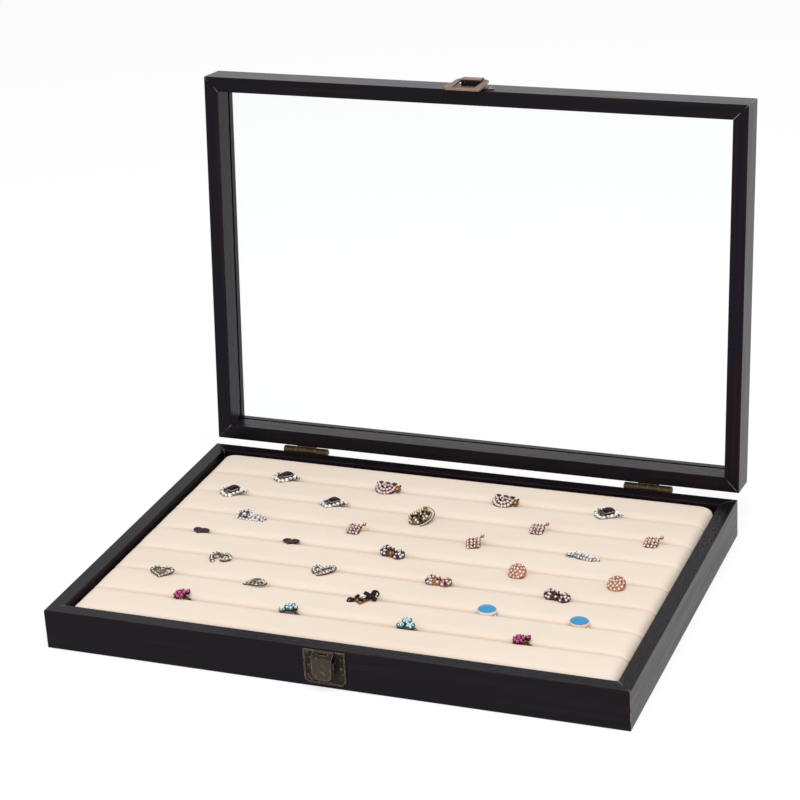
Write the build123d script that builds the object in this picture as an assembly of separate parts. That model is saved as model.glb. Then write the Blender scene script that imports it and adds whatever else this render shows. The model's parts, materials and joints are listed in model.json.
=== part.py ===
"""Ring display box: a mitred tray with a lift-out ring insert, under a hinged glass lid.

Millimetres. X runs along the box, +Y to the hinges, +Z up. The origin is the centre of the underside.
The lid is drawn closed and then turned open about the hinge axis, which is how it is displayed.
"""
from build123d import *
import math
import os

os.makedirs("parts", exist_ok=True)

# ---- case ----
BOX_LENGTH = 350.0
BOX_DEPTH = 240.0
BASE_HEIGHT = 24.5
LID_HEIGHT = 22.5
RAIL_THICKNESS = 9.3
ARRIS_RADIUS = 0.5
SEAM = 0.5                      # between the tray's rim and the closed lid
PANEL_THICKNESS = 3.0
REBATE_WIDTH = 4.6
PANEL_CLEARANCE = 0.2
LID_OPEN_ANGLE = 96.0

# ---- glass ----
GLASS_THICKNESS = 2.0
GLASS_SEAT_HEIGHT = 15.0        # above the lid's underside
GROOVE_DEPTH = 3.5
GROOVE_PLAY = 0.4
GLASS_EDGE_CLEARANCE = 0.6

# ---- ring insert ----
INSERT_CLEARANCE = 1.0
BOARD_THICKNESS = 2.0
ROLL_COUNT = 8
ROLL_GAP = 0.2
ROLL_CREST_BELOW_RIM = 0.3
ROLL_CROWN = 1.2
ROLL_SHOULDER_RADIUS = 1.8
ROLL_CORNER_RADIUS = 3.0
TRAY_CORNER_RADIUS = 9.0
ROLL_END_RADIUS = 6.0

# ---- rings on show ----
BAND_OUTER_RADIUS = 8.6
BAND_THICKNESS = 1.1
BAND_WIDTH = 1.8
BAND_SIDES = 16
BAND_SEAT_GAP = 0.05
HEAD_BELOW_CREST = 0.2          # from a roll's crest down to the underside of a head in the valley
POCKET_CLEARANCE = 0.2
HEAD_SINK = 0.6                 # how far a head's base grips the band
SETTING_THICKNESS = 1.6
STONE_HEIGHT = 1.1
STONE_TAPER = 28.0              # degrees
SLOTS = {                       # design: (slot counted from the hinges, place as a share of its length)
    "ring_pear_halo": [(1, -0.332), (1, 0.317), (2, -0.409), (2, -0.199)],
    "ring_dome_cluster": [(1, -0.121), (1, 0.118)],
    "ring_leaf_swirl": [(2, -0.016)],
    "ring_square_pave": [(2, 0.205), (2, 0.420), (3, -0.119), (3, 0.112)],
    "ring_crystal_fan": [(3, -0.330), (3, 0.318)],
    "ring_dark_heart": [(4, -0.397), (4, -0.213)],
    "ring_bow": [(4, -0.011), (5, 0.107), (5, 0.322)],
    "ring_oval_pave": [(4, 0.224), (4, 0.405)],
    "ring_silver_leaf": [(5, -0.316), (5, -0.114)],
    "ring_open_heart": [(6, -0.394), (6, -0.214)],
    "ring_black_ornate": [(6, -0.008)],
    "ring_oval_cabochon": [(6, 0.222), (6, 0.389)],
    "ring_clover": [(7, -0.316), (7, 0.313)],
    "ring_three_stone": [(7, -0.111), (7, 0.105)],
}

# ---- hinges ----
HINGE_SPACING = 230.0
HINGES_OFF_CENTRE = 3.0         # towards +X, as nailed on
HINGE_AXIS_BEHIND = 2.6
KNUCKLE_RADIUS = 2.3
OUTER_KNUCKLE = 8.3
MIDDLE_KNUCKLE = 6.4
KNUCKLE_GAP = 0.2
LEAF_THICKNESS = 0.8
LEAF_HEIGHT = 9.0
LEAF_NOTCH = 0.25
LEAF_CORNER_RADIUS = 1.2
PIN_RADIUS = 0.9
PIN_HEAD_RADIUS = 1.5
PIN_HEAD_LENGTH = 0.5
PIN_FIT = 0.05
STOP_HEEL_REACH = 1.1           # past the knuckle
STOP_HEEL_ANGLE = 34.0
STOP_PLAY = 0.4                 # degrees

# ---- nails ----
NAIL_SHANK_RADIUS = 0.6
NAIL_LENGTH = 6.5
NAIL_FIT = 0.05
SHANK_SIDES = 8
HEAD_SIDES = 12
NAIL_HEAD_TAPER = 38.0          # degrees
SMALL_HEAD = (1.3, 0.6)         # radius, height
LARGE_HEAD = (1.9, 1.2)
HOLE_END_PLAY = 0.5

# ---- catch on the tray ----
CATCH_WIDTH = 25.0
CATCH_TOP_BELOW_RIM = 0.9
CATCH_HEIGHT = 20.8
CATCH_SHEET = 0.6
CATCH_RIM_WIDTH = 0.7
CATCH_RIM_PROUD = 0.35
CATCH_CORNER_RADIUS = 4.0
CATCH_NAIL_SPACING = 19.0
EAR_SPAN = 12.1                 # between the inner faces
EAR_HEIGHT = 6.4
EAR_REACH = 3.4                 # past the plate
LEVER_SHEET = 0.7
LEVER_TOP_WIDTH = 12.5
LEVER_BOTTOM_WIDTH = 10.9
LEVER_HEIGHT = 15.4
LEVER_LEDGE_DROP = 2.6
LEVER_TOP_PROUD = 5.0
LEVER_BOTTOM_PROUD = 5.8
LEVER_TOP_BELOW_PLATE = 0.1
LEVER_BACK_GAP = 0.6
LEVER_SIDE_GAP = 0.7
LEVER_CORNER_RADIUS = 2.2
LEVER_CHEEK_SPAN = 9.4          # between the inner faces
LEVER_BEND_RADIUS = 0.9
LEVER_SLOT = (5.6, 1.2)
CATCH_PIN_RADIUS = 0.5
CATCH_PIN_FIT = 0.05
CATCH_PIN_PROUD = 2.6
CATCH_PIN_END = 0.5             # past each ear
CATCH_PIN_BELOW_LEVER_TOP = 9.1
CHEEK_BOSS_RADIUS = 1.3
SPRING_SHEET = 0.3
SPRING_WIDTH = 4.4
SPRING_LIP = (8.0, 0.9, 0.6)    # width, height, proud of the plate
SPRING_GAP = 0.1

# ---- hasp on the lid ----
LOOP_PIVOT_HEIGHT = 14.0        # above the lid's underside
LOOP_PIVOT_PROUD = 3.4
LOOP_DROOP = 5.0                # degrees towards the lid's face
LOOP_LENGTH = 21.0
LOOP_TIP_WIDTH = 24.0
LOOP_ROOT_WIDTH = 20.7
LOOP_WINDOW_WIDTH = 14.6
LOOP_BAR_WIDTH = 3.0
LOOP_SHEET = 1.1
LOOP_BEAD_RADIUS = 0.85
LOOP_ROD_RADIUS = 1.15
LOOP_TIP_RADIUS = 2.4
LOOP_ROOT_RADIUS = 1.6
STRAP_WIDTH = 13.0
STRAP_LENGTH = 6.4
STRAP_SHEET = 0.65
STRAP_RADIUS = 1.6
ROD_FIT = 0.1
BRACKET_SHEET = 0.6
BRACKET_EAR_WIDTH = 5.2
BRACKET_NAIL_HEIGHT = 7.0
BRACKET_NAIL_SPACING = 27.2
BRACKET_MARGIN = 0.3            # plate edge beyond the strap

# ---- worked out ----
INNER_LENGTH = BOX_LENGTH - 2 * RAIL_THICKNESS
INNER_DEPTH = BOX_DEPTH - 2 * RAIL_THICKNESS
FRONT_Y = -BOX_DEPTH / 2
REAR_Y = BOX_DEPTH / 2
LID_BOTTOM = BASE_HEIGHT + SEAM
HINGE_Y = REAR_Y + HINGE_AXIS_BEHIND
HINGE_Z = BASE_HEIGHT + SEAM / 2
HINGE_PLACES = (HINGES_OFF_CENTRE - HINGE_SPACING / 2, HINGES_OFF_CENTRE + HINGE_SPACING / 2)
HINGE_LENGTH = 2 * OUTER_KNUCKLE + 2 * MIDDLE_KNUCKLE + 3 * KNUCKLE_GAP
BOARD_TOP = PANEL_THICKNESS + BOARD_THICKNESS
ROLL_LENGTH = INNER_LENGTH - 2 * INSERT_CLEARANCE
ROLL_PITCH = (INNER_DEPTH - 2 * INSERT_CLEARANCE) / ROLL_COUNT
ROLL_TOP = BASE_HEIGHT - ROLL_CREST_BELOW_RIM
RING_ON_BOARD = BOARD_TOP + BAND_SEAT_GAP + BAND_OUTER_RADIUS
RING_ON_FOAM = ROLL_TOP - HEAD_BELOW_CREST + HEAD_SINK - BAND_OUTER_RADIUS
RING_Z = max(RING_ON_BOARD, RING_ON_FOAM)   # a ring stands on the board or hangs by its head
CATCH_TOP = BASE_HEIGHT - CATCH_TOP_BELOW_RIM
CATCH_BOTTOM = CATCH_TOP - CATCH_HEIGHT
LEVER_TOP = CATCH_TOP - LEVER_TOP_BELOW_PLATE
LEVER_BOTTOM = LEVER_TOP - LEVER_HEIGHT
LEDGE_FRONT = LEVER_TOP - LEVER_LEDGE_DROP
LEVER_SLOPE = (LEVER_BOTTOM_PROUD - LEVER_TOP_PROUD) / (LEDGE_FRONT - LEVER_BOTTOM)
CATCH_PIN_Z = LEVER_TOP - CATCH_PIN_BELOW_LEVER_TOP
LOOP_PIVOT_Z = LID_BOTTOM + LOOP_PIVOT_HEIGHT
NAIL_CATCH_Z = CATCH_TOP - CATCH_HEIGHT / 2 - 0.3

FRONT = Plane(origin=(0, FRONT_Y, 0), x_dir=(1, 0, 0), z_dir=(0, -1, 0))
SIDE = Plane(origin=(0, FRONT_Y, 0), x_dir=(0, -1, 0), z_dir=(-1, 0, 0))


def opened(shape):
    """Turns a shape drawn with the lid closed to the open, displayed pose."""
    return shape.rotate(Axis((0, HINGE_Y, HINGE_Z), (1, 0, 0)), -LID_OPEN_ANGLE)


def group(shapes):
    """Identical loose pieces kept together as separate solids."""
    return Compound(children=[solid for shape in shapes for solid in shape.solids()])


def x_cylinder(radius, length, y, z, x=0.0):
    return Pos(x, y, z) * Rot(0, 90, 0) * Cylinder(radius, length)


# ---- rails ----
def rail(profile, length, height):
    """A rail along X: outer face on Y=0, thickness towards +Y, both ends mitred at 45 degrees."""
    bar = extrude(Plane.YZ * profile, length / 2, both=True)
    half = length / 2
    short = half - RAIL_THICKNESS
    plan = Polygon((-half, 0), (half, 0), (short, RAIL_THICKNESS), (-short, RAIL_THICKNESS), align=None)
    return bar & extrude(plan, height)


def bar_section(height):
    """A rail's section, wrapped arrises rounded."""
    corner = Pos(RAIL_THICKNESS / 2, height / 2)
    return corner * RectangleRounded(RAIL_THICKNESS, height, ARRIS_RADIUS)


def tray_section():
    centre = Pos(RAIL_THICKNESS - REBATE_WIDTH / 2, PANEL_THICKNESS / 2)
    return bar_section(BASE_HEIGHT) - centre * Rectangle(REBATE_WIDTH, PANEL_THICKNESS)


def lid_section():
    width = GLASS_THICKNESS + GROOVE_PLAY
    centre = Pos(RAIL_THICKNESS - GROOVE_DEPTH / 2, GLASS_SEAT_HEIGHT + width / 2)
    return bar_section(LID_HEIGHT) - centre * Rectangle(GROOVE_DEPTH, width)


def four_rails(prefix, section, height, z):
    long_rail = rail(section, BOX_LENGTH, height)
    short_rail = rail(section, BOX_DEPTH, height)
    return {
        f"{prefix}_front_rail": Pos(0, FRONT_Y, z) * long_rail,
        f"{prefix}_rear_rail": Pos(0, REAR_Y, z) * Rot(0, 0, 180) * long_rail,
        f"{prefix}_left_rail": Pos(-BOX_LENGTH / 2, 0, z) * Rot(0, 0, -90) * short_rail,
        f"{prefix}_right_rail": Pos(BOX_LENGTH / 2, 0, z) * Rot(0, 0, 90) * short_rail,
    }


# ---- nails ----
def shank_outline(radius):
    """Eight-sided wire, its flats at the given radius."""
    return RegularPolygon(radius, SHANK_SIDES, major_radius=False)


def nail(head):
    """A nail along Z, its head's flat on Z=0, the head drawn in towards the top, the shank below."""
    radius, height = head
    cap = extrude(RegularPolygon(radius, HEAD_SIDES), height, taper=NAIL_HEAD_TAPER)
    return cap + extrude(shank_outline(NAIL_SHANK_RADIUS), -NAIL_LENGTH)


def nail_hole(depth):
    hole = extrude(shank_outline(NAIL_SHANK_RADIUS + NAIL_FIT), depth + 2)
    return Pos(0, 0, -depth) * hole


def front_nails(head, spacing, z, proud):
    return [Pos(x, FRONT_Y - proud, z) * Rot(90, 0, 0) * nail(head) for x in (-spacing / 2, spacing / 2)]


def front_holes(spacing, z):
    depth = NAIL_LENGTH + HOLE_END_PLAY
    return [Pos(x, FRONT_Y, z) * Rot(90, 0, 0) * nail_hole(depth) for x in (-spacing / 2, spacing / 2)]


def rear_places(z):
    """Two nails in each leaf of each hinge, on the rear face."""
    places = []
    for centre in HINGE_PLACES:
        for offset in (-HINGE_LENGTH / 4, HINGE_LENGTH / 4):
            places.append((centre + offset, z))
    return places


def rear_nails(z):
    driven = Rot(-90, 0, 0) * nail(SMALL_HEAD)
    return [Pos(x, REAR_Y + LEAF_THICKNESS, h) * driven for x, h in rear_places(z)]


def rear_holes(z):
    drilled = Rot(-90, 0, 0) * nail_hole(NAIL_LENGTH + HOLE_END_PLAY)
    return [Pos(x, REAR_Y + LEAF_THICKNESS, h) * drilled for x, h in rear_places(z)]


# ---- hinges ----
BASE_NAIL_Z = HINGE_Z - KNUCKLE_RADIUS - LEAF_NOTCH - LEAF_HEIGHT / 2
LID_NAIL_Z = HINGE_Z + KNUCKLE_RADIUS + LEAF_NOTCH + LEAF_HEIGHT / 2
PIN_HOLE_RADIUS = PIN_RADIUS + PIN_FIT
OUTER_CENTRES = [side * (HINGE_LENGTH - OUTER_KNUCKLE) / 2 for side in (-1, 1)]
MIDDLE_CENTRES = [side * (MIDDLE_KNUCKLE + KNUCKLE_GAP) / 2 for side in (-1, 1)]


def leaf(centre, knuckles, width, upward):
    """A sheet leaf on the rear face, with knuckles rolled round the hinge axis."""
    sign = 1 if upward else -1
    near = HINGE_Z + sign * (KNUCKLE_RADIUS + LEAF_NOTCH)
    sheet = RectangleRounded(HINGE_LENGTH, LEAF_HEIGHT, LEAF_CORNER_RADIUS)
    square = Pos(0, -sign * LEAF_HEIGHT / 4) * Rectangle(HINGE_LENGTH, LEAF_HEIGHT / 2)
    plate = Plane.XZ * (sheet + square)
    body = Pos(centre, REAR_Y, near + sign * LEAF_HEIGHT / 2) * extrude(plate, -LEAF_THICKNESS)
    wrap = Box(width, LEAF_THICKNESS, abs(near - HINGE_Z))
    for offset in knuckles:
        body += Pos(centre + offset, REAR_Y + LEAF_THICKNESS / 2, (near + HINGE_Z) / 2) * wrap
        body += x_cylinder(KNUCKLE_RADIUS, width, HINGE_Y, HINGE_Z, centre + offset)
    return body


def pin_hole(centre):
    return x_cylinder(PIN_HOLE_RADIUS, HINGE_LENGTH + 2, HINGE_Y, HINGE_Z, centre)


def base_leaf(centre):
    """The tray's leaf, with the shelf that the lid's heels come to rest on."""
    shelf_length = 2 * MIDDLE_KNUCKLE + KNUCKLE_GAP
    shelf_reach = HINGE_AXIS_BEHIND - LEAF_THICKNESS / 2
    shelf_top = HINGE_Z - KNUCKLE_RADIUS - LEAF_NOTCH
    shelf_y = REAR_Y + LEAF_THICKNESS / 2 + shelf_reach / 2
    shelf = Box(shelf_length, shelf_reach, LEAF_THICKNESS)
    body = leaf(centre, OUTER_CENTRES, OUTER_KNUCKLE, upward=False)
    body += Pos(centre, shelf_y, shelf_top - LEAF_THICKNESS / 2) * shelf
    for hole in rear_holes(BASE_NAIL_Z):
        body -= hole
    return body - pin_hole(centre)


def stop_heel(x):
    """The lug on a middle knuckle that meets the shelf when the lid stands open."""
    first = math.radians(LID_OPEN_ANGLE - 90.0 + STOP_PLAY)
    last = first + math.radians(STOP_HEEL_ANGLE)
    inner = (KNUCKLE_RADIUS + PIN_RADIUS) / 2
    outer = KNUCKLE_RADIUS + STOP_HEEL_REACH
    corners = []
    for radius, angle in ((inner, first), (outer, first), (outer, last), (inner, last)):
        corners.append((radius * math.cos(angle), radius * math.sin(angle)))
    lug = extrude(Plane.YZ * Polygon(*corners, align=None), MIDDLE_KNUCKLE / 2, both=True)
    return Pos(x, HINGE_Y, HINGE_Z) * lug


def lid_leaf(centre):
    body = leaf(centre, MIDDLE_CENTRES, MIDDLE_KNUCKLE, upward=True)
    for offset in MIDDLE_CENTRES:
        body += stop_heel(centre + offset)
    for hole in rear_holes(LID_NAIL_Z):
        body -= hole
    return body - pin_hole(centre)


def hinge_pin(centre):
    rod = x_cylinder(PIN_RADIUS, HINGE_LENGTH + 2 * PIN_HEAD_LENGTH, HINGE_Y, HINGE_Z, centre)
    for side in (-1, 1):
        end = centre + side * (HINGE_LENGTH + PIN_HEAD_LENGTH) / 2
        rod += x_cylinder(PIN_HEAD_RADIUS, PIN_HEAD_LENGTH, HINGE_Y, HINGE_Z, end)
    return rod


# ---- catch ----
CATCH_PIN_Y = FRONT_Y - CATCH_PIN_PROUD


def catch_pin_hole():
    return x_cylinder(CATCH_PIN_RADIUS + CATCH_PIN_FIT, CATCH_WIDTH, CATCH_PIN_Y, CATCH_PIN_Z)


def catch_outline(inset=0.0):
    """The plate's outline: square shoulders, rounded lower corners."""
    centre = Pos(0, CATCH_TOP - CATCH_HEIGHT / 2)
    shape = centre * Rectangle(CATCH_WIDTH - 2 * inset, CATCH_HEIGHT - 2 * inset)
    lower = shape.vertices().sort_by(Axis.Y)[:2]
    return fillet(lower, CATCH_CORNER_RADIUS - inset)


def catch_plate():
    body = FRONT * extrude(catch_outline(), CATCH_SHEET)
    gap_in_rim = Rectangle(LEVER_TOP_WIDTH + 2 * LEVER_SIDE_GAP, 4 * CATCH_RIM_WIDTH)
    rim = catch_outline() - catch_outline(CATCH_RIM_WIDTH) - Pos(0, CATCH_TOP) * gap_in_rim
    body += FRONT * extrude(rim, CATCH_SHEET + CATCH_RIM_PROUD)
    lip_width, lip_height, lip_proud = SPRING_LIP
    lip = Box(lip_width, CATCH_SHEET + lip_proud, lip_height)
    lip_z = CATCH_BOTTOM + CATCH_RIM_WIDTH + lip_height / 2
    body += Pos(0, FRONT_Y - (CATCH_SHEET + lip_proud) / 2, lip_z) * lip
    ear_length = CATCH_SHEET + EAR_REACH
    root = Pos(ear_length / 2, CATCH_PIN_Z) * Rectangle(ear_length, EAR_HEIGHT)
    tips = root.vertices().sort_by(Axis.X)[-2:]
    ear = extrude(SIDE * fillet(tips, EAR_HEIGHT / 4), CATCH_SHEET / 2, both=True)
    for side in (-1, 1):
        body += Pos(side * (EAR_SPAN + CATCH_SHEET) / 2, 0, 0) * ear
    for hole in front_holes(CATCH_NAIL_SPACING, NAIL_CATCH_Z):
        body -= hole
    return body - catch_pin_hole()


def catch_lever():
    """A pressed rocker: top ledge, tapering face with rounded lower corners, and two cheeks on the pin."""
    back = CATCH_SHEET + LEVER_BACK_GAP
    section = Polygon(
        (back, LEVER_TOP),
        (LEVER_TOP_PROUD, LEDGE_FRONT),
        (LEVER_BOTTOM_PROUD, LEVER_BOTTOM),
        (LEVER_BOTTOM_PROUD - LEVER_SHEET, LEVER_BOTTOM),
        (LEVER_TOP_PROUD - LEVER_SHEET, LEDGE_FRONT - LEVER_SHEET / 2),
        (back, LEVER_TOP - LEVER_SHEET),
        align=None,
    )
    bend = section.vertices().sort_by_distance((LEVER_TOP_PROUD, LEDGE_FRONT))[0]
    band = extrude(SIDE * fillet(bend, LEVER_BEND_RADIUS), LEVER_TOP_WIDTH / 2, both=True)
    face = Polygon(
        (-LEVER_BOTTOM_WIDTH / 2, LEVER_BOTTOM),
        (LEVER_BOTTOM_WIDTH / 2, LEVER_BOTTOM),
        (LEVER_TOP_WIDTH / 2, LEVER_TOP),
        (-LEVER_TOP_WIDTH / 2, LEVER_TOP),
        align=None,
    )
    lower = face.vertices().sort_by(Axis.Y)[:2]
    body = band & FRONT * extrude(fillet(lower, LEVER_CORNER_RADIUS), LEVER_BOTTOM_PROUD + 1)
    reach = LEVER_TOP_PROUD + LEVER_SLOPE * (LEDGE_FRONT - CATCH_PIN_Z) - LEVER_SHEET / 2
    boss = Pos(CATCH_PIN_PROUD, CATCH_PIN_Z) * Circle(CHEEK_BOSS_RADIUS)
    arm_centre = Pos((CATCH_PIN_PROUD + reach) / 2, CATCH_PIN_Z)
    arm = arm_centre * Rectangle(reach - CATCH_PIN_PROUD, 2 * CHEEK_BOSS_RADIUS)
    web = Polygon(
        (reach, CATCH_PIN_Z + EAR_HEIGHT / 2),
        (reach, CATCH_PIN_Z - EAR_HEIGHT / 2),
        (CATCH_PIN_PROUD + CHEEK_BOSS_RADIUS, CATCH_PIN_Z - CHEEK_BOSS_RADIUS),
        (CATCH_PIN_PROUD + CHEEK_BOSS_RADIUS, CATCH_PIN_Z + CHEEK_BOSS_RADIUS),
        align=None,
    )
    cheek = extrude(SIDE * (boss + arm + web), CATCH_SHEET / 2, both=True)
    for side in (-1, 1):
        body += Pos(side * (LEVER_CHEEK_SPAN + CATCH_SHEET) / 2, 0, 0) * cheek
    slot_length, slot_width = LEVER_SLOT
    slot_y = FRONT_Y - back - LEVER_SHEET - slot_width / 2
    body -= Pos(0, slot_y, LEVER_TOP) * Box(slot_length, slot_width, 8 * LEVER_SHEET)
    return body - catch_pin_hole()


def catch_spring():
    """A bent strip: its foot lies on the plate above the lip, its tip leans on the lever's lower back."""
    foot = CATCH_BOTTOM + CATCH_RIM_WIDTH + SPRING_LIP[1] + SPRING_GAP
    tip_z = LEVER_BOTTOM + 1.6
    tip = LEVER_BOTTOM_PROUD - LEVER_SHEET - LEVER_SLOPE * 2 - SPRING_GAP
    knee = foot + 2.4
    strip = Polygon(
        (CATCH_SHEET, foot),
        (CATCH_SHEET + SPRING_SHEET, foot),
        (CATCH_SHEET + SPRING_SHEET, knee),
        (tip, tip_z),
        (tip, tip_z + SPRING_SHEET),
        (tip - SPRING_SHEET, tip_z + SPRING_SHEET),
        (CATCH_SHEET, knee + SPRING_SHEET),
        align=None,
    )
    return extrude(SIDE * strip, SPRING_WIDTH / 2, both=True)


def catch_pin():
    length = EAR_SPAN + 2 * (CATCH_SHEET + CATCH_PIN_END)
    return x_cylinder(CATCH_PIN_RADIUS, length, CATCH_PIN_Y, CATCH_PIN_Z)


# ---- hasp ----
def hasp_bracket():
    """The plate on the lid's front, with a nail ear each side and the strap that the loop turns in."""
    strap_low = LOOP_PIVOT_Z - STRAP_LENGTH / 2
    ear_length = BRACKET_NAIL_SPACING + BRACKET_EAR_WIDTH
    ears = Pos(0, LID_BOTTOM + BRACKET_NAIL_HEIGHT) * SlotOverall(ear_length, BRACKET_EAR_WIDTH)
    low = LID_BOTTOM + BRACKET_NAIL_HEIGHT - BRACKET_EAR_WIDTH / 2
    high = strap_low + STRAP_LENGTH + BRACKET_MARGIN
    middle = Pos(0, (low + high) / 2) * Rectangle(STRAP_WIDTH + 2 * BRACKET_MARGIN, high - low)
    body = FRONT * extrude(ears + middle, BRACKET_SHEET)
    top = LOOP_PIVOT_PROUD + LOOP_ROD_RADIUS + ROD_FIT
    outer = top + STRAP_SHEET
    band = Pos(outer / 2, LOOP_PIVOT_Z) * RectangleRounded(outer, STRAP_LENGTH, STRAP_RADIUS)
    tunnel_size = (top - BRACKET_SHEET, STRAP_LENGTH - 2 * STRAP_SHEET)
    tunnel = RectangleRounded(*tunnel_size, STRAP_RADIUS - STRAP_SHEET)
    band -= Pos((top + BRACKET_SHEET) / 2, LOOP_PIVOT_Z) * tunnel
    body += extrude(SIDE * band, STRAP_WIDTH / 2, both=True)
    for hole in front_holes(BRACKET_NAIL_SPACING, LID_BOTTOM + BRACKET_NAIL_HEIGHT):
        body -= hole
    return body


def hasp_loop():
    """A flat stamped frame: two arms from the pivot rod to a beaded cross bar."""
    pivot = Plane(origin=(0, FRONT_Y - LOOP_PIVOT_PROUD, LOOP_PIVOT_Z), x_dir=(1, 0, 0), z_dir=(0, -1, 0))
    outline = Polygon(
        (-LOOP_ROOT_WIDTH / 2, LOOP_ROD_RADIUS),
        (LOOP_ROOT_WIDTH / 2, LOOP_ROD_RADIUS),
        (LOOP_TIP_WIDTH / 2, -LOOP_LENGTH),
        (-LOOP_TIP_WIDTH / 2, -LOOP_LENGTH),
        align=None,
    )
    corners = outline.vertices().sort_by(Axis.Y)
    outline = fillet(corners[:2], LOOP_TIP_RADIUS)
    outline = fillet(outline.vertices().sort_by(Axis.Y)[-2:], LOOP_ROOT_RADIUS)
    window_low = -LOOP_LENGTH + LOOP_BAR_WIDTH
    window_height = 2 * LOOP_ROD_RADIUS - window_low
    outline -= Pos(0, window_low + window_height / 2) * Rectangle(LOOP_WINDOW_WIDTH, window_height)
    body = pivot * extrude(outline, LOOP_SHEET / 2, both=True)
    rod_length = (LOOP_ROOT_WIDTH + LOOP_WINDOW_WIDTH) / 2
    body += pivot * (Rot(0, 90, 0) * Cylinder(LOOP_ROD_RADIUS, rod_length))
    bead = Rot(0, 90, 0) * Cylinder(LOOP_BEAD_RADIUS, LOOP_TIP_WIDTH - 2 * LOOP_TIP_RADIUS)
    body += pivot * (Pos(0, -LOOP_LENGTH + LOOP_BAR_WIDTH / 2, 0) * bead)
    return body.rotate(Axis((0, FRONT_Y - LOOP_PIVOT_PROUD, LOOP_PIVOT_Z), (1, 0, 0)), LOOP_DROOP)


# ---- ring insert ----
def slot_y(slot):
    """The line where roll SLOT meets the next, counted from the hinges."""
    return (ROLL_COUNT / 2 - slot) * ROLL_PITCH


def pockets(slot):
    """Where the shanks in one slot press the foam apart."""
    width = 2 * (BAND_OUTER_RADIUS + POCKET_CLEARANCE)
    height = ROLL_TOP - BOARD_TOP + 2
    shape = Box(width, BAND_WIDTH + 2 * POCKET_CLEARANCE, height)
    found = []
    for places in SLOTS.values():
        for at, share in places:
            if at == slot:
                found.append(Pos(share * ROLL_LENGTH, slot_y(slot), BOARD_TOP - 1 + height / 2) * shape)
    return found


def ring_roll(number):
    """A crowned foam roll in velvet, its ends rounded off; NUMBER 1 lies at the hinges."""
    width = ROLL_PITCH - ROLL_GAP
    height = ROLL_TOP - BOARD_TOP
    plan = Rectangle(ROLL_LENGTH, width)
    by_depth = plan.vertices().sort_by(Axis.Y)
    near_radius = TRAY_CORNER_RADIUS if number == ROLL_COUNT else ROLL_CORNER_RADIUS
    far_radius = TRAY_CORNER_RADIUS if number == 1 else ROLL_CORNER_RADIUS
    plan = fillet(by_depth[:2], near_radius)
    plan = fillet(plan.vertices().sort_by(Axis.Y)[-2:], far_radius)
    shoulder = height - ROLL_CROWN
    with BuildSketch(Plane.YZ) as section:
        with BuildLine():
            Polyline((-width / 2, shoulder), (-width / 2, 0), (width / 2, 0), (width / 2, shoulder))
            ThreePointArc((width / 2, shoulder), (0, height), (-width / 2, shoulder))
        make_face()
        fillet(section.vertices().sort_by(Axis.Z)[-2:], ROLL_SHOULDER_RADIUS)
    crown = extrude(section.sketch, ROLL_LENGTH / 2, both=True)
    ends = Pos(0, height / 2) * Rectangle(ROLL_LENGTH, height)
    ends = fillet(ends.vertices().sort_by(Axis.Y)[-2:], ROLL_END_RADIUS)
    side_view = extrude(Plane.XZ * ends, width / 2, both=True)
    body = extrude(plan, height) & crown & side_view
    y = slot_y(number) + ROLL_PITCH / 2
    body = Pos(0, y, BOARD_TOP) * body
    for slot in (number - 1, number):
        for pocket in pockets(slot):
            body -= pocket
    return body


# ---- rings ----
def cut(length, width=None, sides=8):
    """The outline of a cut stone: a polygon with a flat side towards the wearer."""
    half_turn = math.pi / sides
    radii = (length / 2 / math.cos(half_turn), (width or length) / 2 / math.cos(half_turn))
    corners = []
    for i in range(sides):
        angle = half_turn * (2 * i + 1)
        corners.append((radii[0] * math.cos(angle), radii[1] * math.sin(angle)))
    return Polygon(*corners, align=None)


def setting(outline, thickness=SETTING_THICKNESS):
    return extrude(outline, thickness)


def stone(outline, height=STONE_HEIGHT, base=SETTING_THICKNESS):
    """A cut stone standing on the setting, its sides sloping in to the table."""
    return Pos(0, 0, base) * extrude(outline, height, taper=STONE_TAPER)


def hull(*outlines):
    """The outline stretched round several smaller ones."""
    edges = [edge for outline in outlines for edge in outline.edges()]
    return make_hull(edges)


def pear(length, width, tip=1.2):
    """A drop, round to the left and pointed to the right."""
    return hull(Pos(-(length - width) / 2, 0) * cut(width), Pos((length - tip) / 2, 0) * cut(tip, sides=4))


def heart(size):
    """A heart with its point to the right."""
    lobe = size * 0.6
    halves = [Pos(-lobe / 2, side * lobe / 2) * cut(lobe) for side in (-1, 1)]
    point = Pos(size * 0.5, 0) * cut(size * 0.08, sides=4)
    return hull(halves[0], point) + hull(halves[1], point)


def row(sizes, pitch):
    """Round stones side by side along X."""
    first = -(len(sizes) - 1) / 2 * pitch
    return [Pos(first + i * pitch, 0) * cut(size) for i, size in enumerate(sizes)]


def fused(sketches):
    whole = sketches[0]
    for sketch in sketches[1:]:
        whole += sketch
    return whole


def pear_halo():
    return setting(pear(14.5, 10)) + stone(Pos(-1.0, 0) * pear(9.5, 6))


def dome_cluster():
    return setting(fused([cut(13.6, 9.2), Pos(7.2, 1.4) * cut(3.4)])) + stone(cut(10.4, 6.8), height=1.6)


def leaf_swirl():
    curl = cut(14.4, 10.8, 12) - Pos(0.8, 0) * cut(9.2, 6.0)
    tail = Pos(3.6, 3.4) * Rot(0, 0, 35) * cut(10.4, 3.4, 6)
    grip = Rectangle(9.6, BAND_WIDTH)
    return setting(fused([curl, tail, grip]), 2.2)


def square_pave():
    plate = fused([Rectangle(7.4, 7.4), Pos(5.0, -1.5) * cut(3.4)])
    return setting(plate) + stone(Rectangle(6.6, 6.6), height=0.8)


def crystal_fan():
    discs = row([3.2, 4.4, 5.6, 6.0, 5.6, 4.4, 3.2], 3.0)
    return setting(fused(discs)) + stone(cut(4.8), height=1.4)


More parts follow.
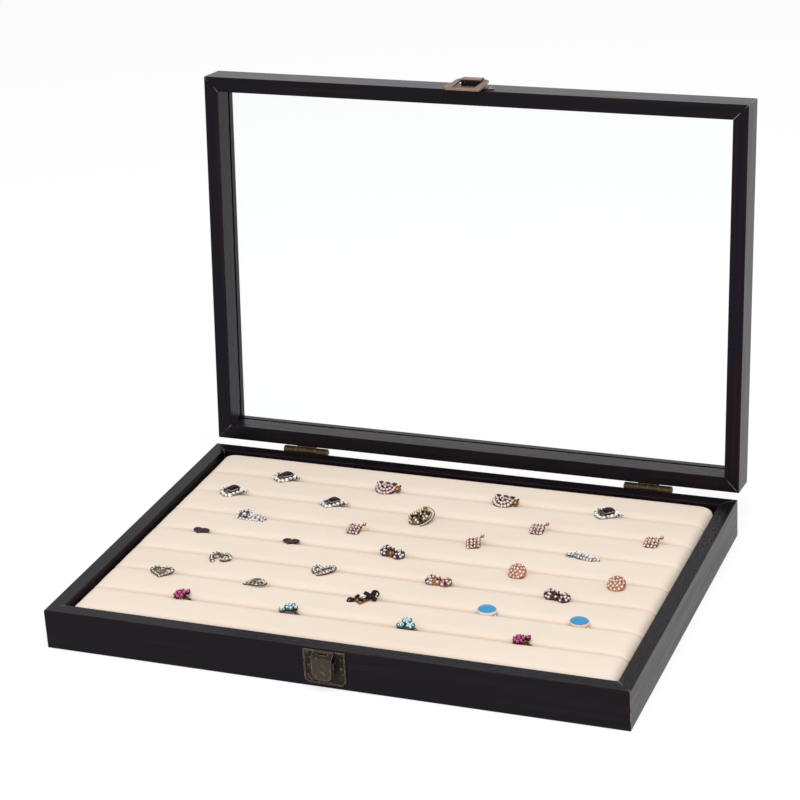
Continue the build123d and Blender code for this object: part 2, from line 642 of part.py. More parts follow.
def dark_heart():
    return setting(heart(9.0), 2.0)


def bow():
    loops = [Pos(-4.6, 0) * cut(8.8, 7.2), Pos(4.6, 0) * cut(8.8, 7.2), cut(4.4)]
    return setting(fused(loops)) + stone(cut(3.4), height=1.3)


def oval_pave():
    return setting(cut(11.2, 10.0, 12)) + stone(cut(9.6, 8.4), height=1.5)


def silver_leaf():
    leaves = [Pos(4.2 * side, 0.8) * Rot(0, 0, 18 * side) * cut(9.2, 5.0) for side in (-1, 1)]
    return setting(fused(leaves + [cut(4.8)]))


def open_heart():
    return setting(fused([heart(12.0) - Pos(-0.3, 0) * heart(6.4), Rectangle(10.0, BAND_WIDTH)]), 1.8)


def black_ornate():
    petals = [Rot(0, 0, angle) * Pos(5.0, 0) * cut(8.4, 4.4, 6) for angle in (0, 40, 140, 180, 220, 320)]
    return setting(fused([cut(6.8)] + petals)) + stone(cut(5.2), height=1.5)


def oval_cabochon():
    return setting(cut(12.0, 9.2, 12)) + stone(cut(10.0, 7.4, 10), height=1.8)


def clover():
    petals = [Rot(0, 0, 45 + 90 * i) * Pos(2.9, 0) * cut(5.0, sides=6) for i in range(4)]
    return setting(fused([cut(5.2)] + petals)) + stone(cut(3.0))


def three_stone():
    return setting(fused(row([5.0, 5.4, 5.0], 4.1))) + stone(cut(4.4))


HEADS = {
    "ring_pear_halo": pear_halo,
    "ring_dome_cluster": dome_cluster,
    "ring_leaf_swirl": leaf_swirl,
    "ring_square_pave": square_pave,
    "ring_crystal_fan": crystal_fan,
    "ring_dark_heart": dark_heart,
    "ring_bow": bow,
    "ring_oval_pave": oval_pave,
    "ring_silver_leaf": silver_leaf,
    "ring_open_heart": open_heart,
    "ring_black_ornate": black_ornate,
    "ring_oval_cabochon": oval_cabochon,
    "ring_clover": clover,
    "ring_three_stone": three_stone,
}


def display_ring(head):
    """A ring on show: the band in its slot, the head on top and facing up."""
    outside = RegularPolygon(BAND_OUTER_RADIUS, BAND_SIDES, rotation=180 / BAND_SIDES)
    inside = RegularPolygon(BAND_OUTER_RADIUS - BAND_THICKNESS, BAND_SIDES, rotation=180 / BAND_SIDES)
    standing = extrude(Plane.XZ * (outside - inside), BAND_WIDTH / 2, both=True)
    lifted = Pos(0, 0, BAND_OUTER_RADIUS - HEAD_SINK) * head()
    return Pos(0, 0, RING_Z) * (standing + lifted)


# ---- assembly ----
nodes = four_rails("base", tray_section(), BASE_HEIGHT, 0)
panel_length = BOX_LENGTH - 2 * (RAIL_THICKNESS - REBATE_WIDTH + PANEL_CLEARANCE)
panel_depth = BOX_DEPTH - 2 * (RAIL_THICKNESS - REBATE_WIDTH + PANEL_CLEARANCE)
nodes["base_panel"] = Pos(0, 0, PANEL_THICKNESS / 2) * Box(panel_length, panel_depth, PANEL_THICKNESS)
for catch_hole in front_holes(CATCH_NAIL_SPACING, NAIL_CATCH_Z):
    nodes["base_front_rail"] -= catch_hole
for hinge_hole in rear_holes(BASE_NAIL_Z):
    nodes["base_rear_rail"] -= hinge_hole

board_depth = INNER_DEPTH - 2 * INSERT_CLEARANCE
insert_board = Box(ROLL_LENGTH, board_depth, BOARD_THICKNESS)
nodes["insert_board"] = Pos(0, 0, PANEL_THICKNESS + BOARD_THICKNESS / 2) * insert_board
for roll_number in range(1, ROLL_COUNT + 1):
    nodes[f"ring_roll_{roll_number}"] = ring_roll(roll_number)
for design, places_taken in SLOTS.items():
    one = display_ring(HEADS[design])
    nodes[design] = group([Pos(share * ROLL_LENGTH, slot_y(slot), 0) * one for slot, share in places_taken])

nodes["catch_plate"] = catch_plate()
nodes["catch_lever"] = catch_lever()
nodes["catch_pin"] = catch_pin()
nodes["catch_spring"] = catch_spring()
nodes["catch_nails"] = group(front_nails(SMALL_HEAD, CATCH_NAIL_SPACING, NAIL_CATCH_Z, CATCH_SHEET))
nodes["hinge_base_nails"] = group(rear_nails(BASE_NAIL_Z))

closed_lid = four_rails("lid", lid_section(), LID_HEIGHT, LID_BOTTOM)
for hasp_hole in front_holes(BRACKET_NAIL_SPACING, LID_BOTTOM + BRACKET_NAIL_HEIGHT):
    closed_lid["lid_front_rail"] -= hasp_hole
for hinge_hole in rear_holes(LID_NAIL_Z):
    closed_lid["lid_rear_rail"] -= hinge_hole
glass_length = INNER_LENGTH + 2 * (GROOVE_DEPTH - GLASS_EDGE_CLEARANCE)
glass_depth = INNER_DEPTH + 2 * (GROOVE_DEPTH - GLASS_EDGE_CLEARANCE)
glass_z = LID_BOTTOM + GLASS_SEAT_HEIGHT + GLASS_THICKNESS / 2
closed_lid["lid_glass"] = Pos(0, 0, glass_z) * Box(glass_length, glass_depth, GLASS_THICKNESS)
for hinge_side, hinge_x in zip(("left", "right"), HINGE_PLACES):
    nodes[f"hinge_{hinge_side}_base_leaf"] = base_leaf(hinge_x)
    nodes[f"hinge_{hinge_side}_pin"] = hinge_pin(hinge_x)
    closed_lid[f"hinge_{hinge_side}_lid_leaf"] = lid_leaf(hinge_x)
closed_lid["hinge_lid_nails"] = group(rear_nails(LID_NAIL_Z))
closed_lid["hasp_bracket"] = hasp_bracket()
closed_lid["hasp_nails"] = group(
    front_nails(LARGE_HEAD, BRACKET_NAIL_SPACING, LID_BOTTOM + BRACKET_NAIL_HEIGHT, BRACKET_SHEET)
)
closed_lid["hasp_loop"] = hasp_loop()
for lid_node, lid_shape in closed_lid.items():
    nodes[lid_node] = opened(lid_shape)

for node_name, node_shape in nodes.items():
    export_step(node_shape, f"parts/{node_name}.step")
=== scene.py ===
"""Looks of the ring display box: foil, velvet, aged brass, glass and thirty-one rings on show.

Metres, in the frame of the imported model. Small forms are drawn in millimetres and scaled by MM.
"""

import bpy
import bmesh
import json
import math
import random
from mathutils import Euler, Matrix, Vector


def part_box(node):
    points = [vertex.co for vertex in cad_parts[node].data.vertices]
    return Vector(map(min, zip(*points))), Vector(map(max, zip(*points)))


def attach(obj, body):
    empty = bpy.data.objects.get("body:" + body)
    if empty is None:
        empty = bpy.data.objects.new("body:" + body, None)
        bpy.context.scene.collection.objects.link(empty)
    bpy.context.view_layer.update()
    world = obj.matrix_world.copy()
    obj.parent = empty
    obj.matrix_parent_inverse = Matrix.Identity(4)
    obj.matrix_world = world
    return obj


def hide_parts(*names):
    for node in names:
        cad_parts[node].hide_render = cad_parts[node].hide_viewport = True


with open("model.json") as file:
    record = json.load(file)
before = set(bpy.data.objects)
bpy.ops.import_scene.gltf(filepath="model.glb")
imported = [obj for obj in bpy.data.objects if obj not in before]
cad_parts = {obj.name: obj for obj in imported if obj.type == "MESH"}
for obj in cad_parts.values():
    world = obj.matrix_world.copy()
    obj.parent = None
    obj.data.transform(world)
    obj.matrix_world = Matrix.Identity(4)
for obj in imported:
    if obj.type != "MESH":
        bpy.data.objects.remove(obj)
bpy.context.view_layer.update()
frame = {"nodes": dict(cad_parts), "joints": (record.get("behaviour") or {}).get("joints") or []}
MM = 0.001

# ---- the camera, as the photograph was taken ----
CAMERA_PLACE = Vector((0.49196, -1.20115, 0.68064))
CAMERA_AIM = Vector((-0.34496, 0.85171, -0.39445))
CAMERA_ROLL = math.radians(-3.3825)
CAMERA_LENS = 110.02

# ---- sizes read from the frame ----
BOARD_LOW, BOARD_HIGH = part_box("insert_board")
CASE_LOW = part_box("base_left_rail")[0]
CASE_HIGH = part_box("base_right_rail")[1]
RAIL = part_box("base_left_rail")[1].x - CASE_LOW.x
ROLL_COUNT = 8
ROLL_LENGTH = BOARD_HIGH.x - BOARD_LOW.x
ROLL_PITCH = (BOARD_HIGH.y - BOARD_LOW.y) / ROLL_COUNT
ROLL_LOW = BOARD_HIGH.z
ROLL_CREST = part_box("ring_roll_4")[1].z
LID_HINGE = next(joint for joint in frame["joints"] if joint["name"] == "lid_hinge")
HINGE_AT = Vector(LID_HINGE["pos_m"])
LID_OPEN = math.radians(-LID_HINGE["range_deg"][0])
SEAM = 0.5 * MM
LID_HEIGHT = 22.5 * MM

# ---- rings on show ----
BAND_RADIUS = 8.6
BAND_THICKNESS = 1.1
BAND_WIDTH = 1.9
HEAD_SINK = 0.2
HEAD_PRESSED = 0.8          # how far a head's lowest point sits below the crests of the foam


# ---------------------------------------------------------------- node trees
def add(tree, kind, inputs=None, **settings):
    """Adds a shader node. An input is a number, a colour or another node's socket."""
    node = tree.nodes.new("ShaderNode" + kind)
    for name, value in settings.items():
        setattr(node, name, value)
    for name, value in (inputs or {}).items():
        socket = node.inputs[name]
        if isinstance(value, bpy.types.NodeSocket):
            tree.links.new(value, socket)
        else:
            socket.default_value = value
    return node


def calculate(tree, operation, a, b=0.0, c=0.0, clamp=False):
    node = add(tree, "Math", {0: a, 1: b, 2: c}, operation=operation, use_clamp=clamp)
    return node.outputs[0]


def blend_colours(tree, share, low, high):
    node = add(tree, "Mix", {0: share, 6: low, 7: high}, data_type="RGBA")
    return node.outputs[2]


def smooth_step(tree, value, start, end):
    node = add(tree, "MapRange", {"Value": value, "From Min": start, "From Max": end},
               interpolation_type="SMOOTHSTEP")
    return node.outputs["Result"]


def grey(level):
    return (level, level, level, 1.0)


def colour(red, green, blue):
    return (red, green, blue, 1.0)


def new_group(name, inputs, outputs):
    """A shader node group with named sockets, as (tree, its inputs, its outputs)."""
    tree = bpy.data.node_groups.new(name, "ShaderNodeTree")
    for socket, (kind, value) in inputs.items():
        made = tree.interface.new_socket(socket, in_out="INPUT", socket_type="NodeSocket" + kind)
        if value is not None:
            made.default_value = value
    for socket, kind in outputs.items():
        tree.interface.new_socket(socket, in_out="OUTPUT", socket_type="NodeSocket" + kind)
    return tree, tree.nodes.new("NodeGroupInput").outputs, tree.nodes.new("NodeGroupOutput").inputs


def put(tree, group, **inputs):
    """Places a group in a material, with this material's own values, and gives its outputs."""
    node = add(tree, "Group", node_tree=group)
    for name, value in inputs.items():
        socket = node.inputs[name.replace("_", " ")]
        if isinstance(value, bpy.types.NodeSocket):
            tree.links.new(value, socket)
        else:
            socket.default_value = value
    return node.outputs


def new_material(name):
    material = bpy.data.materials.new(name)
    material.use_nodes = True
    tree = material.node_tree
    tree.nodes.clear()
    return material, tree, tree.nodes.new("ShaderNodeOutputMaterial").inputs


def object_point(tree):
    return add(tree, "TexCoord").outputs["Object"]


def bumped(tree, height, strength, distance):
    node = add(tree, "Bump", {"Height": height, "Strength": strength, "Distance": distance})
    return node.outputs["Normal"]


# ---------------------------------------------------------------- shared effects
def make_foil_grain():
    """Printed wood grain: long fine streaks along X."""
    tree, given, out = new_group(
        "foil_grain", {"Point": ("Vector", None)},
        {"Streaks": "Float", "Pores": "Float", "Clouds": "Float"})
    stretched = add(tree, "Mapping", {"Vector": given["Point"], "Scale": (5.0, 330.0, 330.0)})
    wide = add(tree, "TexNoise", {"Vector": stretched.outputs[0], "Scale": 1.0, "Detail": 3.0,
                                  "Roughness": 0.6, "Distortion": 0.4})
    fine_point = add(tree, "Mapping", {"Vector": given["Point"], "Scale": (16.0, 1100.0, 1100.0)})
    fine = add(tree, "TexNoise", {"Vector": fine_point.outputs[0], "Scale": 1.0, "Detail": 2.0})
    clouds = add(tree, "TexNoise", {"Vector": given["Point"], "Scale": 14.0, "Detail": 2.0})
    tree.links.new(smooth_step(tree, wide.outputs["Fac"], 0.46, 0.66), out["Streaks"])
    tree.links.new(smooth_step(tree, fine.outputs["Fac"], 0.35, 0.70), out["Pores"])
    tree.links.new(clouds.outputs["Fac"], out["Clouds"])
    return tree


def make_case_edges():
    """Masks of a mitred frame: its long arrises, and the mitre lines at its four corners."""
    half_length = (CASE_HIGH.x - CASE_LOW.x) / 2
    half_depth = (CASE_HIGH.y - CASE_LOW.y) / 2
    tree, given, out = new_group(
        "case_edges",
        {"Point": ("Vector", None), "Bottom": ("Float", 0.0), "Top": ("Float", 0.02),
         "Arris Width": ("Float", 0.001), "Mitre Width": ("Float", 0.0003)},
        {"Arris": "Float", "Mitre": "Float"})
    axes = add(tree, "SeparateXYZ", {0: given["Point"]}).outputs
    from_end = calculate(tree, "SUBTRACT", half_length, calculate(tree, "ABSOLUTE", axes["X"]))
    from_side = calculate(tree, "SUBTRACT", half_depth, calculate(tree, "ABSOLUTE", axes["Y"]))
    outside = calculate(tree, "MINIMUM", from_end, from_side)
    inside = calculate(tree, "SUBTRACT", RAIL, outside)
    wall = calculate(tree, "MINIMUM", outside, inside)
    above = calculate(tree, "SUBTRACT", given["Top"], axes["Z"])
    below = calculate(tree, "SUBTRACT", axes["Z"], given["Bottom"])
    long_edge = calculate(tree, "MAXIMUM", wall, calculate(tree, "MINIMUM", above, below))
    corner = calculate(tree, "MAXIMUM", from_end, from_side)
    nearest = calculate(tree, "MINIMUM", long_edge, corner)
    ratio = calculate(tree, "DIVIDE", nearest, given["Arris Width"])
    tree.links.new(smooth_step(tree, ratio, 1.0, 0.25), out["Arris"])
    skew = calculate(tree, "ABSOLUTE", calculate(tree, "SUBTRACT", from_end, from_side))
    share = calculate(tree, "DIVIDE", skew, given["Mitre Width"])
    tree.links.new(smooth_step(tree, share, 1.0, 0.35), out["Mitre"])
    return tree


def make_brass_ageing():
    """Aged brass in oxide colours: faces looking up take one colour and the other faces another, as painted light and
    shade; edges brighten where a bevelled normal leaves the face, partly wear and partly a painted highlight.
    """
    tree, given, out = new_group(
        "brass_ageing",
        {"Point": ("Vector", None), "Patina": ("Color", colour(0.05, 0.035, 0.025)),
         "Upper": ("Color", colour(0.05, 0.035, 0.025)), "Bright": ("Color", colour(0.45, 0.34, 0.22)),
         "Edge Radius": ("Float", 0.0004)},
        {"Base Color": "Color", "Roughness": "Float", "Height": "Float"})
    looks_up = add(tree, "SeparateXYZ", {0: add(tree, "TexCoord").outputs["Normal"]}).outputs["Z"]
    # Painted light and shade: faces looking up take the top colour, all other faces the side colour.
    dark = blend_colours(tree, smooth_step(tree, looks_up, 0.35, 0.75), given["Patina"], given["Upper"])
    bevel = add(tree, "Bevel", {"Radius": given["Edge Radius"]}, samples=6)
    flat = add(tree, "NewGeometry").outputs["Normal"]
    facing = add(tree, "VectorMath", {0: bevel.outputs[0], 1: flat}, operation="DOT_PRODUCT")
    cloud = add(tree, "TexNoise", {"Vector": given["Point"], "Scale": 420.0, "Detail": 4.0}).outputs["Fac"]
    speck = add(tree, "TexNoise", {"Vector": given["Point"], "Scale": 2600.0, "Detail": 2.0}).outputs["Fac"]
    # Edges brighten where the bevelled normal turns away: partly wear, partly a painted highlight along the edge.
    edge = smooth_step(tree, facing.outputs["Value"], 0.985, 0.80)
    worn_and_highlit_edge = calculate(tree, "MULTIPLY", edge, smooth_step(tree, cloud, 0.25, 0.55), clamp=True)
    worn = calculate(tree, "MULTIPLY", smooth_step(tree, cloud, 0.55, 0.80), 0.30)
    share = calculate(tree, "MAXIMUM", worn_and_highlit_edge, worn)
    tree.links.new(blend_colours(tree, share, dark, given["Bright"]), out["Base Color"])
    dull = calculate(tree, "MULTIPLY_ADD", share, -0.16, 0.44)
    tree.links.new(calculate(tree, "MULTIPLY_ADD", speck, 0.10, dull), out["Roughness"])
    tree.links.new(calculate(tree, "ADD", cloud, calculate(tree, "MULTIPLY", speck, 0.3)), out["Height"])
    return tree


def make_velvet_pile():
    """Short pile: faint drifts where it was stroked, and a fine tooth."""
    tree, given, out = new_group(
        "velvet_pile",
        {"Point": ("Vector", None), "Light": ("Color", grey(0.8)), "Shade": ("Color", grey(0.7))},
        {"Base Color": "Color", "Height": "Float"})
    drift_point = add(tree, "Mapping", {"Vector": given["Point"], "Scale": (9.0, 34.0, 20.0)})
    drift = add(tree, "TexNoise", {"Vector": drift_point.outputs[0], "Scale": 1.0, "Detail": 3.0,
                                   "Roughness": 0.55}).outputs["Fac"]
    tooth = add(tree, "TexNoise", {"Vector": given["Point"], "Scale": 3200.0, "Detail": 2.0}).outputs["Fac"]
    share = calculate(tree, "MULTIPLY_ADD", tooth, 0.30, smooth_step(tree, drift, 0.30, 0.75), clamp=True)
    tree.links.new(blend_colours(tree, share, given["Light"], given["Shade"]), out["Base Color"])
    tree.links.new(tooth, out["Height"])
    return tree


def make_metal_patches():
    """Small jewellery metal: dark patches at random, partly tarnishing and partly painted dark reflection."""
    tree, given, out = new_group(
        "metal_patches",
        {"Point": ("Vector", None), "Clean": ("Color", grey(0.7)), "Tarnish": ("Color", grey(0.1)),
         "Amount": ("Float", 0.5)},
        {"Base Color": "Color", "Roughness": "Float", "Height": "Float"})
    patch = add(tree, "TexNoise", {"Vector": given["Point"], "Scale": 900.0, "Detail": 3.0}).outputs["Fac"]
    low = calculate(tree, "MULTIPLY_ADD", given["Amount"], -0.36, 0.70)
    share = smooth_step(tree, calculate(tree, "SUBTRACT", patch, low), -0.12, 0.16)
    tree.links.new(blend_colours(tree, share, given["Clean"], given["Tarnish"]), out["Base Color"])
    tree.links.new(calculate(tree, "MULTIPLY_ADD", share, 0.22, 0.16), out["Roughness"])
    tree.links.new(patch, out["Height"])
    return tree


def make_stone_facets():
    """Colour of a cut stone as painted reflections: each facet is painted at its own brightness between a bright and a
    dark colour, with a painted glimmer inside it.
    """
    tree, given, out = new_group(
        "stone_facets",
        {"Point": ("Vector", None), "Bright": ("Color", grey(0.9)), "Deep": ("Color", grey(0.2))},
        {"Base Color": "Color", "Roughness": "Float"})
    painted_glint = add(tree, "Attribute", attribute_name="facet_painted_glint").outputs["Fac"]
    inner_glint = add(tree, "TexVoronoi", {"Vector": given["Point"], "Scale": 1300.0}).outputs["Distance"]
    share = calculate(tree, "MULTIPLY_ADD", inner_glint, 0.20, smooth_step(tree, painted_glint, 0.22, 0.86), clamp=True)
    tree.links.new(blend_colours(tree, share, given["Deep"], given["Bright"]), out["Base Color"])
    tree.links.new(calculate(tree, "MULTIPLY_ADD", inner_glint, 0.10, 0.05), out["Roughness"])
    return tree


FOIL_GRAIN = make_foil_grain()
CASE_EDGES = make_case_edges()
BRASS_AGEING = make_brass_ageing()
VELVET_PILE = make_velvet_pile()
METAL_PATCHES = make_metal_patches()
STONE_FACETS = make_stone_facets()


# ---------------------------------------------------------------- materials
def shut_point(tree, in_lid):
    """The point where this spot lies with the lid shut, so that one grain serves tray and lid."""
    if not in_lid:
        return object_point(tree)
    turn = Euler((LID_OPEN, 0.0, 0.0))
    shift = HINGE_AT - turn.to_matrix() @ HINGE_AT
    return add(tree, "Mapping", {"Vector": object_point(tree), "Rotation": turn, "Location": shift}).outputs[0]


def case_foil(name, in_lid, along_y):
    """Dark wood-grain foil, satin, brown where it folds over an arris and scuffed pale at the mitres."""
    material, tree, surface = new_material(name)
    point = shut_point(tree, in_lid)
    grain_turn = Euler((0.0, 0.0, math.radians(90) if along_y else 0.0))
    grain_point = add(tree, "Mapping", {"Vector": point, "Rotation": grain_turn}).outputs[0]
    grain = put(tree, FOIL_GRAIN, Point=grain_point)
    bottom = CASE_HIGH.z + SEAM if in_lid else 0.0
    top = bottom + LID_HEIGHT if in_lid else CASE_HIGH.z
    edges = put(tree, CASE_EDGES, Point=point, Bottom=bottom, Top=top)
    black = colour(0.0050, 0.0038, 0.0062)
    brown = colour(0.0120, 0.0062, 0.0070)
    fold = colour(0.0230, 0.0105, 0.0090)
    scuff = colour(0.30, 0.28, 0.27)
    streaks = calculate(tree, "MULTIPLY", grain["Streaks"], smooth_step(tree, grain["Clouds"], 0.35, 0.65))
    print_colour = blend_colours(tree, streaks, black, brown)
    folded = calculate(tree, "MULTIPLY", edges["Arris"], smooth_step(tree, grain["Clouds"], 0.40, 0.75))
    with_folds = blend_colours(tree, folded, print_colour, fold)
    flake = smooth_step(tree, add(tree, "TexNoise", {"Vector": point, "Scale": 160.0}).outputs["Fac"], 0.42, 0.62)
    scuffed = calculate(tree, "MULTIPLY", edges["Mitre"], flake)
    shader = add(tree, "BsdfPrincipled", {
        "Base Color": blend_colours(tree, scuffed, with_folds, scuff),
        "Roughness": calculate(tree, "MULTIPLY_ADD", grain["Pores"], 0.10, 0.27),
        "Specular IOR Level": 0.12, "Specular Tint": colour(0.96, 0.88, 1.0),
        "Normal": bumped(tree, grain["Pores"], 0.25, 0.00004),
    })
    tree.links.new(shader.outputs[0], surface["Surface"])
    return material


def aged_brass(name, side_patina_shading, top_patina_shading, bright, edge_radius=0.4 * MM):
    material, tree, surface = new_material(name)
    aged = put(tree, BRASS_AGEING, Point=object_point(tree), Patina=side_patina_shading, Upper=top_patina_shading, Bright=bright,
               Edge_Radius=edge_radius)
    shader = add(tree, "BsdfPrincipled", {
        "Base Color": aged["Base Color"], "Roughness": aged["Roughness"], "Metallic": 0.9,
        "Normal": bumped(tree, aged["Height"], 0.25, 0.00008),
    })
    tree.links.new(shader.outputs[0], surface["Surface"])
    return material


def pane_glass():
    """Clear float glass. Lamps and shadows pass straight through."""
    material, tree, surface = new_material("clear_float_glass")
    smear = add(tree, "TexNoise", {"Vector": object_point(tree), "Scale": 9.0, "Detail": 2.0}).outputs["Fac"]
    glass = add(tree, "BsdfPrincipled", {
        "Base Color": blend_colours(tree, smear, colour(0.975, 0.99, 0.985), colour(0.985, 0.995, 0.99)),
        "Roughness": 0.0, "Metallic": 0.0, "IOR": 1.12, "Transmission Weight": 1.0,
    })
    clear = add(tree, "BsdfTransparent", {"Color": grey(1.0)})
    rays = add(tree, "LightPath").outputs
    passing = calculate(tree, "MAXIMUM", rays["Is Shadow Ray"], rays["Is Diffuse Ray"])
    mixed = add(tree, "MixShader", {0: passing, 1: glass.outputs[0], 2: clear.outputs[0]})
    tree.links.new(mixed.outputs[0], surface["Surface"])
    return material


def velvet():
    material, tree, surface = new_material("cream_velvet")
    pile = put(tree, VELVET_PILE, Point=object_point(tree),
               Light=colour(0.860, 0.743, 0.632), Shade=colour(0.830, 0.704, 0.584))
    shader = add(tree, "BsdfPrincipled", {
        "Base Color": pile["Base Color"], "Roughness": 0.95, "Specular IOR Level": 0.15,
        "Sheen Weight": 0.12, "Sheen Roughness": 0.5,
        "Normal": bumped(tree, pile["Height"], 0.35, 0.00012),
    })
    tree.links.new(shader.outputs[0], surface["Surface"])
    return material


def fibre_board(name, light, dark, scale):
    """Pressed board: short fibres in two tones."""
    material, tree, surface = new_material(name)
    point = add(tree, "Mapping", {"Vector": object_point(tree), "Scale": (scale, scale * 2.2, scale)})
    fibres = add(tree, "TexNoise", {"Vector": point.outputs[0], "Scale": 1.0, "Detail": 5.0, "Roughness": 0.7,
                                    "Distortion": 1.5}).outputs["Fac"]
    shader = add(tree, "BsdfPrincipled", {
        "Base Color": blend_colours(tree, smooth_step(tree, fibres, 0.35, 0.65), dark, light),
        "Roughness": calculate(tree, "MULTIPLY_ADD", fibres, 0.15, 0.75),
        "Normal": bumped(tree, fibres, 0.4, 0.0001),
    })
    tree.links.new(shader.outputs[0], surface["Surface"])
    return material


def jewel_metal(name, clean, dark_patch, amount):
    material, tree, surface = new_material(name)
    metal = put(tree, METAL_PATCHES, Point=object_point(tree), Clean=clean, Tarnish=dark_patch, Amount=amount)
    shader = add(tree, "BsdfPrincipled", {
        "Base Color": metal["Base Color"], "Roughness": metal["Roughness"], "Metallic": 0.9,
        "Normal": bumped(tree, metal["Height"], 0.2, 0.00005),
    })
    tree.links.new(shader.outputs[0], surface["Surface"])
    return material


def cut_glass(name, bright, dark_glint, gloss=0.5):
    material, tree, surface = new_material(name)
    facets = put(tree, STONE_FACETS, Point=object_point(tree), Bright=bright, Deep=dark_glint)
    shader = add(tree, "BsdfPrincipled", {
        "Base Color": facets["Base Color"], "Roughness": facets["Roughness"], "Specular IOR Level": gloss,
    })
    tree.links.new(shader.outputs[0], surface["Surface"])
    return material


# Edge colour of the catch: partly wear, partly a painted highlight.
WORN_AND_HIGHLIT_BRASS = colour(0.46, 0.34, 0.23)

